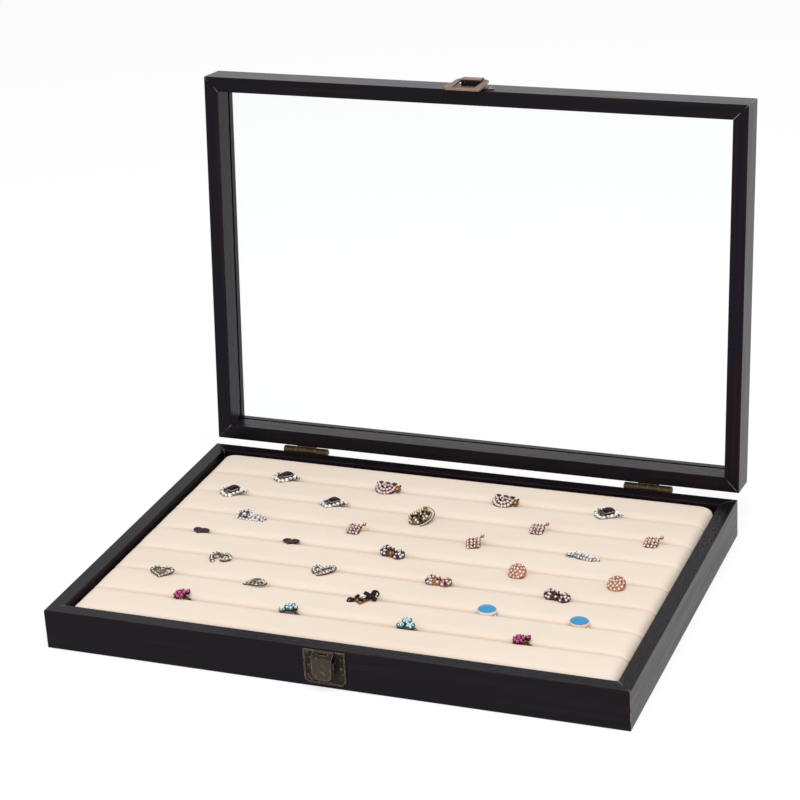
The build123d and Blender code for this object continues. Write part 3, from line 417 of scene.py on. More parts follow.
FINISHES = {
    "tray_foil_long": case_foil("tray_foil_long", in_lid=False, along_y=False),
    "tray_foil_short": case_foil("tray_foil_short", in_lid=False, along_y=True),
    "lid_foil_long": case_foil("lid_foil_long", in_lid=True, along_y=False),
    "lid_foil_short": case_foil("lid_foil_short", in_lid=True, along_y=True),
    # Aged brass: side colour, top colour, edge colour. The side and top colours differ as painted light and shade by
    # facing; the edge colour is partly wear and partly a painted highlight.
    "catch_brass": aged_brass("catch_brass", colour(0.022, 0.017, 0.017), colour(0.26, 0.20, 0.15), WORN_AND_HIGHLIT_BRASS),
    "lever_brass": aged_brass("lever_brass", colour(0.062, 0.047, 0.036), colour(0.030, 0.030, 0.025),
                              colour(0.50, 0.38, 0.26)),
    "hasp_brass": aged_brass("hasp_brass", colour(0.30, 0.19, 0.11), colour(0.25, 0.17, 0.145),
                             colour(0.72, 0.58, 0.38)),
    "bracket_brass": aged_brass("bracket_brass", colour(0.022, 0.014, 0.015), colour(0.36, 0.25, 0.215),
                                colour(0.36, 0.19, 0.14), 0.25 * MM),
    "hasp_nail_brass": aged_brass("hasp_nail_brass", colour(0.20, 0.15, 0.145), colour(0.34, 0.27, 0.26),
                                  colour(0.50, 0.42, 0.40)),
    "hinge_brass": aged_brass("hinge_brass", colour(0.125, 0.080, 0.036), colour(0.040, 0.032, 0.018),
                              colour(0.46, 0.33, 0.18)),
    "nail_brass": aged_brass("nail_brass", colour(0.016, 0.012, 0.011), colour(0.10, 0.085, 0.070),
                             colour(0.40, 0.34, 0.28)),
    "spring_strip": aged_brass("spring_strip", colour(0.030, 0.026, 0.024), colour(0.040, 0.034, 0.030),
                               colour(0.30, 0.24, 0.18)),
    "pane": pane_glass(),
    "velvet": velvet(),
    "bottom_board": fibre_board("bottom_board", colour(0.10, 0.068, 0.045), colour(0.055, 0.036, 0.024), 240.0),
    "grey_board": fibre_board("grey_board", colour(0.42, 0.39, 0.35), colour(0.30, 0.28, 0.25), 300.0),
    # Jewellery metals: a clean colour and a dark patch colour; the dark patches are partly tarnishing and partly
    # painted dark reflection.
    "polished_silver": jewel_metal("polished_silver", colour(0.86, 0.84, 0.82), colour(0.50, 0.45, 0.42), 0.05),
    "polished_rose": jewel_metal("polished_rose", colour(0.90, 0.74, 0.66), colour(0.62, 0.36, 0.26), 0.15),
    "silver": jewel_metal("silver", colour(0.66, 0.64, 0.61), colour(0.12, 0.10, 0.085), 0.40),
    # Settings, rims and cups in dark_silver, dark_copper, plum_metal and dark_teal_metal sit round and between the
    # stones: their darkness is partly the metal's own and partly painted shade in the gaps.
    "dark_silver": jewel_metal("dark_silver", colour(0.20, 0.175, 0.15), colour(0.030, 0.022, 0.018), 0.6),
    "gold": jewel_metal("gold", colour(0.60, 0.37, 0.13), colour(0.16, 0.075, 0.022), 0.4),
    "brown_gold": jewel_metal("brown_gold", colour(0.34, 0.20, 0.08), colour(0.07, 0.035, 0.014), 0.5),
    "green_gold": jewel_metal("green_gold", colour(0.34, 0.28, 0.13), colour(0.08, 0.060, 0.022), 0.45),
    "copper": jewel_metal("copper", colour(0.55, 0.27, 0.17), colour(0.15, 0.050, 0.028), 0.45),
    "bright_copper": jewel_metal("bright_copper", colour(0.72, 0.40, 0.29), colour(0.34, 0.13, 0.08), 0.35),
    "dark_copper": jewel_metal("dark_copper", colour(0.15, 0.070, 0.050), colour(0.026, 0.010, 0.008), 0.5),
    "black_metal": jewel_metal("black_metal", colour(0.034, 0.022, 0.024), colour(0.008, 0.005, 0.007), 0.5),
    "plum_metal": jewel_metal("plum_metal", colour(0.13, 0.020, 0.050), colour(0.035, 0.006, 0.014), 0.5),
    "dark_teal_metal": jewel_metal("dark_teal_metal", colour(0.12, 0.15, 0.15), colour(0.022, 0.030, 0.032), 0.5),
    # Cut stones: facets are painted between the first colour and the second, as painted highlights and painted dark
    # reflections.
    "clear_stone": cut_glass("clear_stone", colour(0.96, 0.94, 0.90), colour(0.10, 0.085, 0.070)),
    "olive_stone": cut_glass("olive_stone", colour(0.60, 0.52, 0.36), colour(0.045, 0.036, 0.016)),
    "lilac_stone": cut_glass("lilac_stone", colour(0.84, 0.80, 0.86), colour(0.14, 0.10, 0.13)),
    "pink_stone": cut_glass("pink_stone", colour(0.92, 0.74, 0.72), colour(0.15, 0.055, 0.050)),
    "peach_stone": cut_glass("peach_stone", colour(0.96, 0.76, 0.64), colour(0.34, 0.11, 0.065)),
    "amber_stone": cut_glass("amber_stone", colour(0.52, 0.24, 0.060), colour(0.10, 0.028, 0.006), 0.3),
    "smoke_stone": cut_glass("smoke_stone", colour(0.036, 0.016, 0.018), colour(0.003, 0.002, 0.002), 0.08),
    "plum_stone": cut_glass("plum_stone", colour(0.085, 0.040, 0.050), colour(0.010, 0.004, 0.007), 0.2),
    "aqua_stone": cut_glass("aqua_stone", colour(0.62, 0.88, 0.92), colour(0.020, 0.12, 0.15)),
    "magenta_stone": cut_glass("magenta_stone", colour(0.56, 0.085, 0.25), colour(0.070, 0.004, 0.024)),
    "turquoise": cut_glass("turquoise", colour(0.026, 0.28, 0.54), colour(0.010, 0.14, 0.36)),
}


def dress(node, finish):
    """Gives a CAD node its finish, in its own material slots."""
    mesh = frame["nodes"][node].data
    mesh.materials.clear()
    mesh.materials.append(FINISHES[finish])


for half in ("tray", "lid"):
    prefix = "base" if half == "tray" else "lid"
    for side in ("front", "rear"):
        dress(f"{prefix}_{side}_rail", f"{half}_foil_long")
    for side in ("left", "right"):
        dress(f"{prefix}_{side}_rail", f"{half}_foil_short")
for side in ("left", "right"):
    for part in ("base_leaf", "lid_leaf", "pin"):
        dress(f"hinge_{side}_{part}", "hinge_brass")
for node in ("hinge_base_nails", "hinge_lid_nails"):
    dress(node, "hinge_brass")
dress("catch_plate", "catch_brass")
dress("catch_lever", "lever_brass")
for node in ("catch_nails", "catch_pin"):
    dress(node, "nail_brass")
dress("hasp_loop", "hasp_brass")
dress("hasp_bracket", "bracket_brass")
dress("hasp_nails", "hasp_nail_brass")
dress("catch_spring", "spring_strip")
dress("lid_glass", "pane")
dress("base_panel", "bottom_board")
dress("insert_board", "grey_board")


# ---------------------------------------------------------------- rings: where each one stands
def slot_y(slot):
    """The line of a slot, counted from the hinges."""
    return (ROLL_COUNT / 2 - slot) * ROLL_PITCH


# node: list of (slot, place as a share of its length, turn and lean in degrees, variant)
RINGS = {
    "ring_pear_halo": [(1, -0.329, 2, 10, ""), (1, 0.316, -3, 14, ""), (2, -0.404, 6, 13, ""), (2, -0.198, 4, 6, "")],
    "ring_dome_cluster": [(1, -0.120, -2, 24, ""), (1, 0.115, -4, 22, "")],
    "ring_leaf_swirl": [(2, -0.011, 44, 14, "")],
    "ring_square_pave": [(2, 0.211, 2, 16, "pink"), (2, 0.426, 0, 16, "peach"), (3, -0.116, -2, 16, "pink"),
                         (3, 0.117, 18, 16, "peach")],
    "ring_crystal_fan": [(3, -0.324, 0, 13, "wing"), (3, 0.322, -3, 12, "bar")],
    "ring_dark_heart": [(4, -0.396, -4, 2, ""), (4, -0.214, 2, 2, "")],
    "ring_bow": [(4, -0.011, -14, 18, "silver"), (5, 0.106, -3, 12, "copper"), (5, 0.324, -12, 14, "brown")],
    "ring_oval_pave": [(4, 0.231, -4, 36, ""), (4, 0.412, 8, 36, "")],
    "ring_silver_leaf": [(5, -0.309, 0, 10, "pair"), (5, -0.108, 10, 8, "double")],
    "ring_open_heart": [(6, -0.389, 4, 8, ""), (6, -0.210, -58, -6, "")],
    "ring_black_ornate": [(6, 0.000, 12, 12, "")],
    "ring_oval_cabochon": [(6, 0.222, -2, 6, "polished_silver"), (6, 0.387, -2, 6, "polished_rose")],
    "ring_clover": [(7, -0.317, 20, 18, "clover"), (7, 0.311, 12, 12, "ball")],
    "ring_three_stone": [(7, -0.113, 12, 14, "pair"), (7, 0.105, 0, 14, "trefoil")],
}


# ---------------------------------------------------------------- velvet rolls
ROLL_STATIONS = 110
ROLL_ACROSS = 12
ROLL_UP = 7
ROLL_SKIN_GAP = 0.12 * MM
ROLL_SLACK = 0.5 * MM           # left below the crest for the skin to swell into
ROLL_CROWN = 0.5 * MM
ROLL_SHOULDER = 1.6 * MM
ROLL_END_PLAN = 3.4 * MM
ROLL_END_TOP = 6.5 * MM
TRAY_CORNER = 9.0 * MM
SWELL_LIMIT = 0.9 * MM
SLOT_OPENING = 0.7 * MM
SLOT_REACH = 10.0 * MM


def rounded_corner(u, v, half_u, half_v, radius):
    """Moves a point of a rectangle's border onto the same border with round corners."""
    core_u = max(-half_u + radius, min(half_u - radius, u))
    core_v = max(-half_v + radius, min(half_v - radius, v))
    du, dv = u - core_u, v - core_v
    far = max(abs(du), abs(dv))
    if far < 1e-9 or du == 0.0 or dv == 0.0:
        return u, v
    scale = far / math.hypot(du, dv)
    return core_u + du * scale, core_v + dv * scale


def roll_point(x, y, z, half_length, half_width, height, corner):
    """A point of a straight bar's skin, moved onto the roll: z from 0, y from the roll's middle."""
    rear = y > 0
    if z > height / 2:
        y, above = rounded_corner(y, z - height / 2, half_width, height / 2, ROLL_SHOULDER)
        z = above + height / 2
    x, y = rounded_corner(x, y, half_length, half_width, corner[rear])
    share = z / height
    if share > 0.5:
        rise = (share - 0.5) * 2
        crown = ROLL_CROWN * (y / half_width) ** 2 * rise
        end = max(0.0, abs(x) - (half_length - ROLL_END_TOP)) / ROLL_END_TOP
        drop = ROLL_END_TOP * (1 - math.sqrt(max(0.0, 1 - min(1.0, end) ** 2))) * rise
        z -= crown + drop * 0.75
    return x, y, z


def roll_mesh(number):
    """A closed skin of even quads round one roll, before it is inflated."""
    half_length = ROLL_LENGTH / 2 - 0.3 * MM
    half_width = ROLL_PITCH / 2 - ROLL_SKIN_GAP
    height = ROLL_CREST - ROLL_LOW - ROLL_SLACK
    front = TRAY_CORNER if number == ROLL_COUNT else ROLL_END_PLAN
    rear = TRAY_CORNER if number == 1 else ROLL_END_PLAN
    counts = (ROLL_STATIONS, ROLL_ACROSS, ROLL_UP)
    mesh = bmesh.new()
    found = {}

    def corner(i, j, k):
        if (i, j, k) not in found:
            x = (2 * i / counts[0] - 1) * half_length
            y = (2 * j / counts[1] - 1) * half_width
            z = k / counts[2] * height
            point = roll_point(x, y, z, half_length, half_width, height, (front, rear))
            found[i, j, k] = mesh.verts.new(point)
        return found[i, j, k]

    for axis in range(3):
        first, second = [a for a in range(3) if a != axis]
        for end in (0, counts[axis]):
            for a in range(counts[first]):
                for b in range(counts[second]):
                    quad = []
                    for da, db in ((0, 0), (1, 0), (1, 1), (0, 1)):
                        index = [0, 0, 0]
                        index[axis], index[first], index[second] = end, a + da, b + db
                        quad.append(corner(*index))
                    mesh.faces.new(quad)
    bmesh.ops.recalc_face_normals(mesh, faces=mesh.faces)
    middle = slot_y(number) + ROLL_PITCH / 2
    bmesh.ops.translate(mesh, verts=mesh.verts, vec=(0, middle, ROLL_LOW))
    return mesh, middle


def inflate(rolls):
    """Blows the velvet skins up a little over their foam, all in one run of cloth."""
    for piece in rolls:
        held = piece.vertex_groups.new(name="glued_under")
        for vertex in piece.data.vertices:
            height = (vertex.co.z - ROLL_LOW) / (ROLL_CREST - ROLL_LOW)
            if height < 0.5:
                held.add([vertex.index], 1.0, "REPLACE")
        cloth = piece.modifiers.new("cloth", "CLOTH")
        cloth.settings.quality = 4
        cloth.settings.mass = 0.3
        cloth.settings.tension_stiffness = 25
        cloth.settings.compression_stiffness = 25
        cloth.settings.bending_stiffness = 2.0
        cloth.settings.use_pressure = True
        cloth.settings.uniform_pressure_force = 4.0
        cloth.settings.effector_weights.gravity = 0.0
        cloth.settings.vertex_group_mass = "glued_under"
    scene = bpy.context.scene
    for step in range(1, 21):
        scene.frame_set(step)
    depsgraph = bpy.context.evaluated_depsgraph_get()
    blown = [[v.co.copy() for v in piece.evaluated_get(depsgraph).data.vertices] for piece in rolls]
    scene.frame_set(1)
    for piece, points in zip(rolls, blown):
        piece.modifiers.clear()
        for vertex, point in zip(piece.data.vertices, points):
            move = point - vertex.co
            vertex.co += move * min(1.0, SWELL_LIMIT / max(move.length, 1e-9))


def settle(piece, number, middle):
    """Keeps a roll inside its own strip, and opens it where a ring's band stands in a slot."""
    half_width = ROLL_PITCH / 2 - ROLL_SKIN_GAP
    half_length = ROLL_LENGTH / 2
    stands = [(slot, share * ROLL_LENGTH) for places in RINGS.values() for slot, share, *_ in places]
    for vertex in piece.data.vertices:
        p = vertex.co
        p.x = max(-half_length, min(half_length, p.x))
        p.y = middle + max(-half_width, min(half_width, p.y - middle))
        p.z = max(ROLL_LOW, min(ROLL_CREST + 0.3 * MM, p.z))
        for slot, x in stands:
            if slot not in (number, number - 1) or abs(p.x - x) > SLOT_REACH:
                continue
            line = slot_y(slot)
            away = p.y - line
            share = (abs(p.x - x) / SLOT_REACH) ** 2
            near = (1 - share) * math.exp(-abs(away) / (4.0 * MM))
            p.y += math.copysign(SLOT_OPENING * near, middle - line)
            if p.z > ROLL_LOW + 8 * MM:
                p.z -= 0.2 * MM * near


def velvet_rolls():
    rolls = []
    for number in range(1, ROLL_COUNT + 1):
        mesh, middle = roll_mesh(number)
        data = bpy.data.meshes.new(f"velvet_roll_{number}")
        mesh.to_mesh(data)
        mesh.free()
        piece = bpy.data.objects.new(f"velvet_roll_{number}", data)
        bpy.context.scene.collection.objects.link(piece)
        rolls.append(piece)
    inflate(rolls)
    for number, piece in enumerate(rolls, start=1):
        settle(piece, number, slot_y(number) + ROLL_PITCH / 2)
        for face in piece.data.polygons:
            face.use_smooth = True
        smoother = piece.modifiers.new("soften", "SUBSURF")
        smoother.levels = 1
        smoother.render_levels = 1
        piece.data.materials.append(FINISHES["velvet"])
        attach(piece, "insert")
        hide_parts(f"ring_roll_{number}")


velvet_rolls()


# ---------------------------------------------------------------- jewellery forms, in millimetres
class Tray:
    """Gathers the faces of a node's rings, one ring after another."""

    def __init__(self, seed):
        self.mesh = bmesh.new()
        self.painted_glint = self.mesh.faces.layers.float.new("facet_painted_glint")
        self.finishes = []
        self.place = Matrix()
        self.luck = random.Random(seed)

    def face(self, verts, finish, smooth=False, painted_glint=None):
        if finish not in self.finishes:
            self.finishes.append(finish)
        made = self.mesh.faces.new(verts)
        made.material_index = self.finishes.index(finish)
        made.smooth = smooth
        # A painted glint value for each face, random unless given; cut stones show it as painted reflection.
        made[self.painted_glint] = self.luck.random() if painted_glint is None else painted_glint
        return made

    def verts(self, points, place=Matrix()):
        return [self.mesh.verts.new(self.place @ place @ Vector(p)) for p in points]

    def skin(self, rows, finish, smooth=True, capped=True, place=Matrix()):
        """Closed rows of points joined one to the next, with both ends closed."""
        made = [self.verts(row, place) for row in rows]
        for low, high in zip(made, made[1:]):
            for i in range(len(low)):
                j = (i + 1) % len(low)
                self.face((low[i], low[j], high[j], high[i]), finish, smooth, 0.7)
        if capped:
            self.face(list(reversed(made[0])), finish, False, 0.7)
            self.face(made[-1], finish, False, 0.7)

    def finish_piece(self, name):
        data = bpy.data.meshes.new(name)
        bmesh.ops.recalc_face_normals(self.mesh, faces=self.mesh.faces)
        self.mesh.to_mesh(data)
        self.mesh.free()
        for finish in self.finishes:
            data.materials.append(FINISHES[finish])
        piece = bpy.data.objects.new(name, data)
        bpy.context.scene.collection.objects.link(piece)
        return piece


def oval(width, depth, count=12, start=0.0):
    return [(width / 2 * math.cos(start + math.tau * i / count),
             depth / 2 * math.sin(start + math.tau * i / count)) for i in range(count)]


def drop(width, depth):
    """A drop with its point to the right and a blunt corner at its front left."""
    corners = ((0.50, 0.06), (0.33, 0.27), (0.12, 0.44), (-0.12, 0.42), (-0.38, 0.27), (-0.50, 0.03),
               (-0.44, -0.20), (-0.30, -0.41), (-0.13, -0.54), (0.09, -0.36), (0.34, -0.13))
    return [(x * width, y * depth) for x, y in corners]


def heart(size, count=22):
    """A heart with its point towards the front."""
    points = []
    for i in range(count):
        t = math.tau * i / count
        x = 16 * math.sin(t) ** 3
        y = 13 * math.cos(t) - 5 * math.cos(2 * t) - 2 * math.cos(3 * t) - math.cos(4 * t)
        points.append((-x / 32 * size, (y + 2.5) / 32 * size))
    return points


def rounded_square(side, count=16):
    points = []
    for i in range(count):
        t = math.tau * (i + 0.5) / count
        c, s = math.cos(t), math.sin(t)
        reach = (abs(c) ** 6 + abs(s) ** 6) ** (-1 / 6)
        points.append((side / 2 * reach * c, side / 2 * reach * s))
    return points


def row_at(outline, scale, z):
    return [(x * scale, y * scale, z) for x, y in outline]


def along(outline, count, offset=0.0):
    """COUNT places evenly spaced along a closed outline."""
    closed = outline + outline[:1]
    lengths = [math.dist(a, b) for a, b in zip(closed, closed[1:])]
    total = sum(lengths)
    places = []
    for i in range(count):
        want = (i + offset) / count % 1.0 * total
        for a, b, length in zip(closed, closed[1:], lengths):
            if want <= length:
                share = want / length if length else 0.0
                places.append((a[0] + (b[0] - a[0]) * share, a[1] + (b[1] - a[1]) * share))
                break
            want -= length
    return places


def plate(tray, finish, outline, low, high, draw=0.86, place=Matrix()):
    """A setting: drawn in below, full in the middle, eased at its top."""
    # Set under stones in a dark metal, a setting shows in the gaps between them as painted shade.
    middle = low + (high - low) * 0.6
    rows = [row_at(outline, draw, low), row_at(outline, 1.0, middle), row_at(outline, 0.97, high)]
    tray.skin(rows, finish, place=place)


def cut_stone(tray, finish, outline, rise, place=Matrix(), table=0.62, back=0.35):
    """A faceted stone: girdle, two courses of crown facets, table and a shallow closed back."""
    count = len(outline)
    halves = [((outline[i][0] + outline[(i + 1) % count][0]) / 2,
               (outline[i][1] + outline[(i + 1) % count][1]) / 2) for i in range(count)]
    girdle = tray.verts(row_at(outline, 1.0, 0), place)
    crown = tray.verts(row_at(halves, table, rise), place)
    keel = tray.verts(row_at(outline, 0.55, -back), place)
    # Painted reflection: crown facets get random painted glints, the closed back is painted dark and the table bright.
    for i in range(count):
        j = (i + 1) % count
        tray.face((girdle[i], girdle[j], crown[i]), finish)
        tray.face((girdle[j], crown[j], crown[i]), finish)
        tray.face((girdle[j], girdle[i], keel[i], keel[j]), finish, painted_glint=0.1)
    tray.face(crown, finish, painted_glint=0.75)
    tray.face(list(reversed(keel)), finish, painted_glint=0.1)


def aimed(at, normal=(0, 0, 1), turn=0.0):
    """A place with Z along NORMAL."""
    aim = Vector(normal).to_track_quat("Z", "Y").to_matrix().to_4x4()
    return Matrix.Translation(at) @ aim @ Matrix.Rotation(math.radians(turn), 4, "Z")


def gem(tray, finish, at, size, normal=(0, 0, 1), sides=7, rise=0.34):
    """A set stone. No two of them are quite the same size or sit quite level."""
    turn = tray.luck.uniform(0, 50)
    size *= tray.luck.uniform(0.86, 1.10)
    tilt = Vector((tray.luck.uniform(-0.16, 0.16), tray.luck.uniform(-0.16, 0.16), 0))
    cut_stone(tray, finish, oval(size, size, sides), size * rise, aimed(at, Vector(normal) + tilt, turn),
              back=size * 0.3)


def bead(tray, finish, at, size, sides=7, place=Matrix()):
    """A small cast ball, or the end of a claw."""
    rows = []
    for angle in (-75, -38, 0, 38, 75):
        a = math.radians(angle)
        rows.append([(x + at[0], y + at[1], at[2] + size / 2 * math.sin(a))
                     for x, y in oval(size * math.cos(a), size * math.cos(a), sides)])
    tray.skin(rows, finish, place=place)


def wire(tray, finish, points, radius, sides=6, closed=False, taper=1.0):
    """Round wire through points. TAPER is the share of the radius left at its far end."""
    points = [Vector(p) for p in points]
    count = len(points)
    rows = []
    for i, p in enumerate(points):
        before = points[i - 1] if i or closed else p
        after = points[(i + 1) % count] if i < count - 1 or closed else p
        forward = (after - before).normalized()
        side = forward.cross(Vector((0, 0, 1)))
        side = side.normalized() if side.length > 1e-4 else Vector((1, 0, 0))
        up = side.cross(forward)
        thick = radius * (1 + (taper - 1) * i / max(1, count - 1))
        rows.append([p + side * thick * math.cos(math.tau * k / sides)
                     + up * thick * math.sin(math.tau * k / sides) for k in range(sides)])
    if closed:
        rows.append(rows[0])
    tray.skin(rows, finish, capped=not closed)


def band(tray, finish):
    """The ring's hoop, half round in section, standing in its slot below the head."""
    steps, sides = 36, 8
    centre = BAND_RADIUS - BAND_THICKNESS / 2
    rows = []
    for i in range(steps):
        angle = math.tau * i / steps
        row = []
        for k in range(sides):
            a = math.tau * k / sides
            reach = centre + BAND_THICKNESS / 2 * math.sin(a)
            row.append((reach * math.sin(angle), BAND_WIDTH / 2 * math.cos(a),
                        reach * math.cos(angle) - BAND_RADIUS + HEAD_SINK))
        rows.append(row)
    rows.append(rows[0])
    tray.skin(rows, finish, capped=False)


def dome(width, depth, height):
    """A function that lifts a place onto a dome: its point and the way it faces there."""
    def lifted(x, y, above=0.0):
        r2 = min(0.98, (2 * x / width) ** 2 + (2 * y / depth) ** 2)
        z = height * math.sqrt(1 - r2)
        normal = Vector((x / (width / 2) ** 2, y / (depth / 2) ** 2, z / height ** 2)).normalized()
        return Vector((x, y, z)) + normal * above, normal
    return lifted


def dome_shell(tray, finish, width, depth, height, base=0.0, count=20):
    rows = [row_at(oval(width, depth, count), 0.94, base - 1.2), row_at(oval(width, depth, count), 1.0, base)]
    for angle in (20, 40, 58, 75):
        a = math.radians(angle)
        rows.append(row_at(oval(width, depth, count), math.cos(a), base + height * math.sin(a)))
    tray.skin(rows, finish)


# ---------------------------------------------------------------- ring heads
def pear_halo(tray, variant):
    """A dark drop in a raised setting, circled by clear stones."""
    place = Matrix.Translation((0.8, 1.7, 0))
    plate(tray, "dark_silver", drop(15.4, 11.6), 0.0, 1.2)
    for x, y in along(drop(13.0, 9.2), 14, 0.5):
        gem(tray, "clear_stone", (x, y, 1.5), 2.7, (x * 0.03, y * 0.06, 1), sides=6)
    for x, y in along(drop(15.8, 12.0), 15):
        bead(tray, "silver", (x * 0.97, y * 0.97, 1.1), 0.8)
    plate(tray, "silver", drop(8.0, 6.0), 1.1, 2.5, place=place)
    cut_stone(tray, "smoke_stone", drop(7.8, 5.8), 1.1, place @ Matrix.Translation((0, 0, 2.5)), table=0.55)
    for x, size in ((8.2, 1.7), (9.6, 1.4)):
        gem(tray, "clear_stone", (x, 0.8, 1.2), size)
        bead(tray, "dark_silver", (x - 0.7, -0.2, 0.8), 0.8, 5)


def dome_cluster(tray, variant):
    """A half shell of pink stones, round to the front, with a dark crest along its straight back."""
    shell = [(6.7 * math.cos(math.radians(a)), 3.0 + 7.0 * math.sin(math.radians(a))) for a in range(-180, 1, 12)]
    plate(tray, "dark_copper", shell, 0.0, 1.8)
    for reach, count, rise in ((0.86, 10, 2.0), (0.56, 7, 2.6), (0.25, 3, 2.9)):
        for i in range(count):
            a = math.radians(-172 + 164 * i / (count - 1))
            x, y = 6.7 * reach * math.cos(a), 2.6 + 7.0 * reach * math.sin(a)
            gem(tray, "pink_stone", (x, y, rise), 2.2, (x * 0.05, (y - 3) * 0.06, 1), sides=6)
            bead(tray, "dark_copper", (x * 0.86 + 0.5, y * 0.86, rise + 0.1), 0.8, 5)
    for i, x in enumerate((-5.4, -3.2, -1.0, 1.2, 3.4, 5.4)):
        gem(tray, "plum_stone" if i % 2 else "pink_stone", (x, 3.2, 2.9), 2.2, (0, 0.3, 1), rise=0.6)
        bead(tray, "dark_copper", (x + 1.0, 4.0, 3.1), 1.1)
    wire(tray, "dark_copper", [(x * 1.03, y * 1.03, 0.9) for x, y in shell], 0.4, closed=True)
    plate(tray, "brown_gold", [(x + 7.8, y + 1.4) for x, y in oval(3.6, 4.6)], 0.4, 2.0, draw=1.0)
    gem(tray, "amber_stone", (7.8, 1.0, 2.2), 2.8, (0.3, -0.5, 0.8), rise=0.5)
    bead(tray, "dark_copper", (9.2, 3.0, 2.8), 1.4)
    bead(tray, "gold", (7.0, 2.8, 2.6), 1.2)


def leaf_swirl(tray, variant):
    """A leaf of stones with a comb of points along one edge and a double tail along the other."""
    leaf = [(x, y * (1 - 0.25 * x / 8)) for x, y in oval(15.0, 9.4, 22)]

    def rise(x):
        return 1.6 + 0.16 * (x + 7)

    rows = [[(x * s, y * s, z + rise(x) - 1.6) for x, y in leaf] for s, z in ((0.86, -0.4), (1.0, 0.8), (0.95, 1.4))]
    tray.skin(rows, "brown_gold")
    for reach, count, size in ((0.86, 15, 2.0), (0.48, 7, 2.0), (0.1, 1, 2.0)):
        for i, (x, y) in enumerate(along([(x * reach, y * reach) for x, y in leaf], count)):
            finish = ("olive_stone", "clear_stone", "smoke_stone")[i % 3] if reach > 0.3 else "smoke_stone"
            if x < -3.5 and y < 0:
                finish = "amber_stone" if i % 2 else "olive_stone"
            gem(tray, finish, (x, y, rise(x) + 0.1), size, sides=6)
    for i in range(9):
        x = -5.8 + i * 1.5
        y = 4.0 * math.sqrt(max(0.0, 1 - (x / 8.4) ** 2))
        spike = [(x, y, rise(x) - 0.4), (x + 0.2, y + 0.9, rise(x) + 0.8), (x + 0.7, y + 1.5, rise(x) + 1.5)]
        wire(tray, "brown_gold" if i % 2 else "gold", spike, 0.5, taper=0.4)
    for inset, finish, radius in ((0.0, "polished_silver", 0.55), (1.1, "dark_copper", 0.4), (-0.8, "brown_gold", 0.4)):
        sweep = []
        for i in range(13):
            t = i / 12
            a = math.radians(-110 + 165 * t)
            sweep.append(((9.0 - inset) * math.cos(a), (6.0 - inset) * math.sin(a) + 1.0 * t, 1.0 + 2.6 * t ** 1.4))
        wire(tray, finish, sweep, radius, taper=0.5)
    gem(tray, "amber_stone", (5.0, 2.0, rise(5.0) + 0.6), 2.6)
    bead(tray, "dark_copper", (5.8, 3.4, rise(5.0) + 0.6), 1.8)


def square_pave(tray, variant):
    """A cushion of set stones, four by four, with a small ball on a stem."""
    stones = "pink_stone" if variant == "pink" else "peach_stone"
    plate(tray, "dark_copper", rounded_square(8.8), 0.0, 1.3, draw=0.94)
    for i in range(4):
        for j in range(4):
            x, y = (i - 1.5) * 2.1, (j - 1.5) * 2.1
            z = 1.45 + 0.4 * (1 - (x * x + y * y) / 18)
            gem(tray, stones, (x, y, z), 2.0, (x * 0.05, y * 0.05, 1), sides=6)
            bead(tray, "polished_rose" if (i + j) % 2 else "copper", (x + 1.0, y - 1.0, z + 0.1), 0.75, 5)
    wire(tray, "copper", [(4.0, 3.2, 1.4), (4.9, 3.9, 1.8), (5.6, 4.0, 2.0)], 0.5)
    bead(tray, "copper", (5.6, 4.0, 2.0), 2.3, 9)
    gem(tray, stones, (5.7, 3.7, 2.9), 1.3)


def crystal_fan(tray, variant):
    """A long spray of clear stones: a wide lobe and a low one, or an even bar."""
    spots = []
    if variant == "wing":
        for a in range(-30, 226, 30):
            t = math.radians(a)
            spots.append((-4.6 + 4.4 * math.cos(t), 1.2 + 4.4 * math.sin(t), 2.2, 2.4))
        for a in range(0, 360, 52):
            t = math.radians(a)
            spots.append((5.4 + 4.0 * math.cos(t), -0.2 + 2.6 * math.sin(t), 1.8, 2.2))
        for i in range(8):
            spots.append((-8.6 + 2.3 * i, -2.2 - 0.6 * math.sin(math.pi * i / 7), 1.5, 2.0))
        spots += [(0.4, 0.2, 2.1, 2.3), (0.8, 2.0, 1.9, 2.0), (5.4, -0.2, 2.4, 2.4), (-9.8, -3.0, 1.2, 1.8)]
        gem(tray, "pink_stone", (-4.6, 1.0, 2.2), 3.8)
        backing = [(x, y + 0.2) for x, y in oval(20.0, 6.8, 26)]
        plate(tray, "silver", [(x - 4.6, y + 1.4) for x, y in oval(10.0, 9.4, 20)], 0.2, 1.1, draw=0.9)
    else:
        for i in range(10):
            x = (i - 4.5) * 2.05
            sway = 0.9 * math.sin(x / 3.6)
            spots.append((x, 1.9 * math.cos(x / 6.2) - sway, 2.1, 2.2))
            spots.append((x + 0.8, -1.9 * math.cos(x / 6.8) - sway, 1.7, 2.1))
            if 0 < i < 9:
                spots.append((x - 0.4, -sway, 2.6, 2.2))
        backing = [(x, y - 0.8 * math.sin(x / 3.6)) for x, y in oval(21.4, 7.0, 26)]
    plate(tray, "silver", backing, 0.0, 1.1, draw=0.9)
    wire(tray, "dark_silver", [(x * 0.99, y * 0.99, 0.5) for x, y in backing], 0.32, closed=True)
    for i, (x, y, z, size) in enumerate(spots):
        gem(tray, "lilac_stone" if i % 3 == 0 else "clear_stone", (x, y, z), size, (x * 0.02, y * 0.06, 1), sides=6)
        bead(tray, "dark_silver" if i % 2 else "silver", (x + 0.9, y - 0.9, z - 0.2), 0.75, 5)


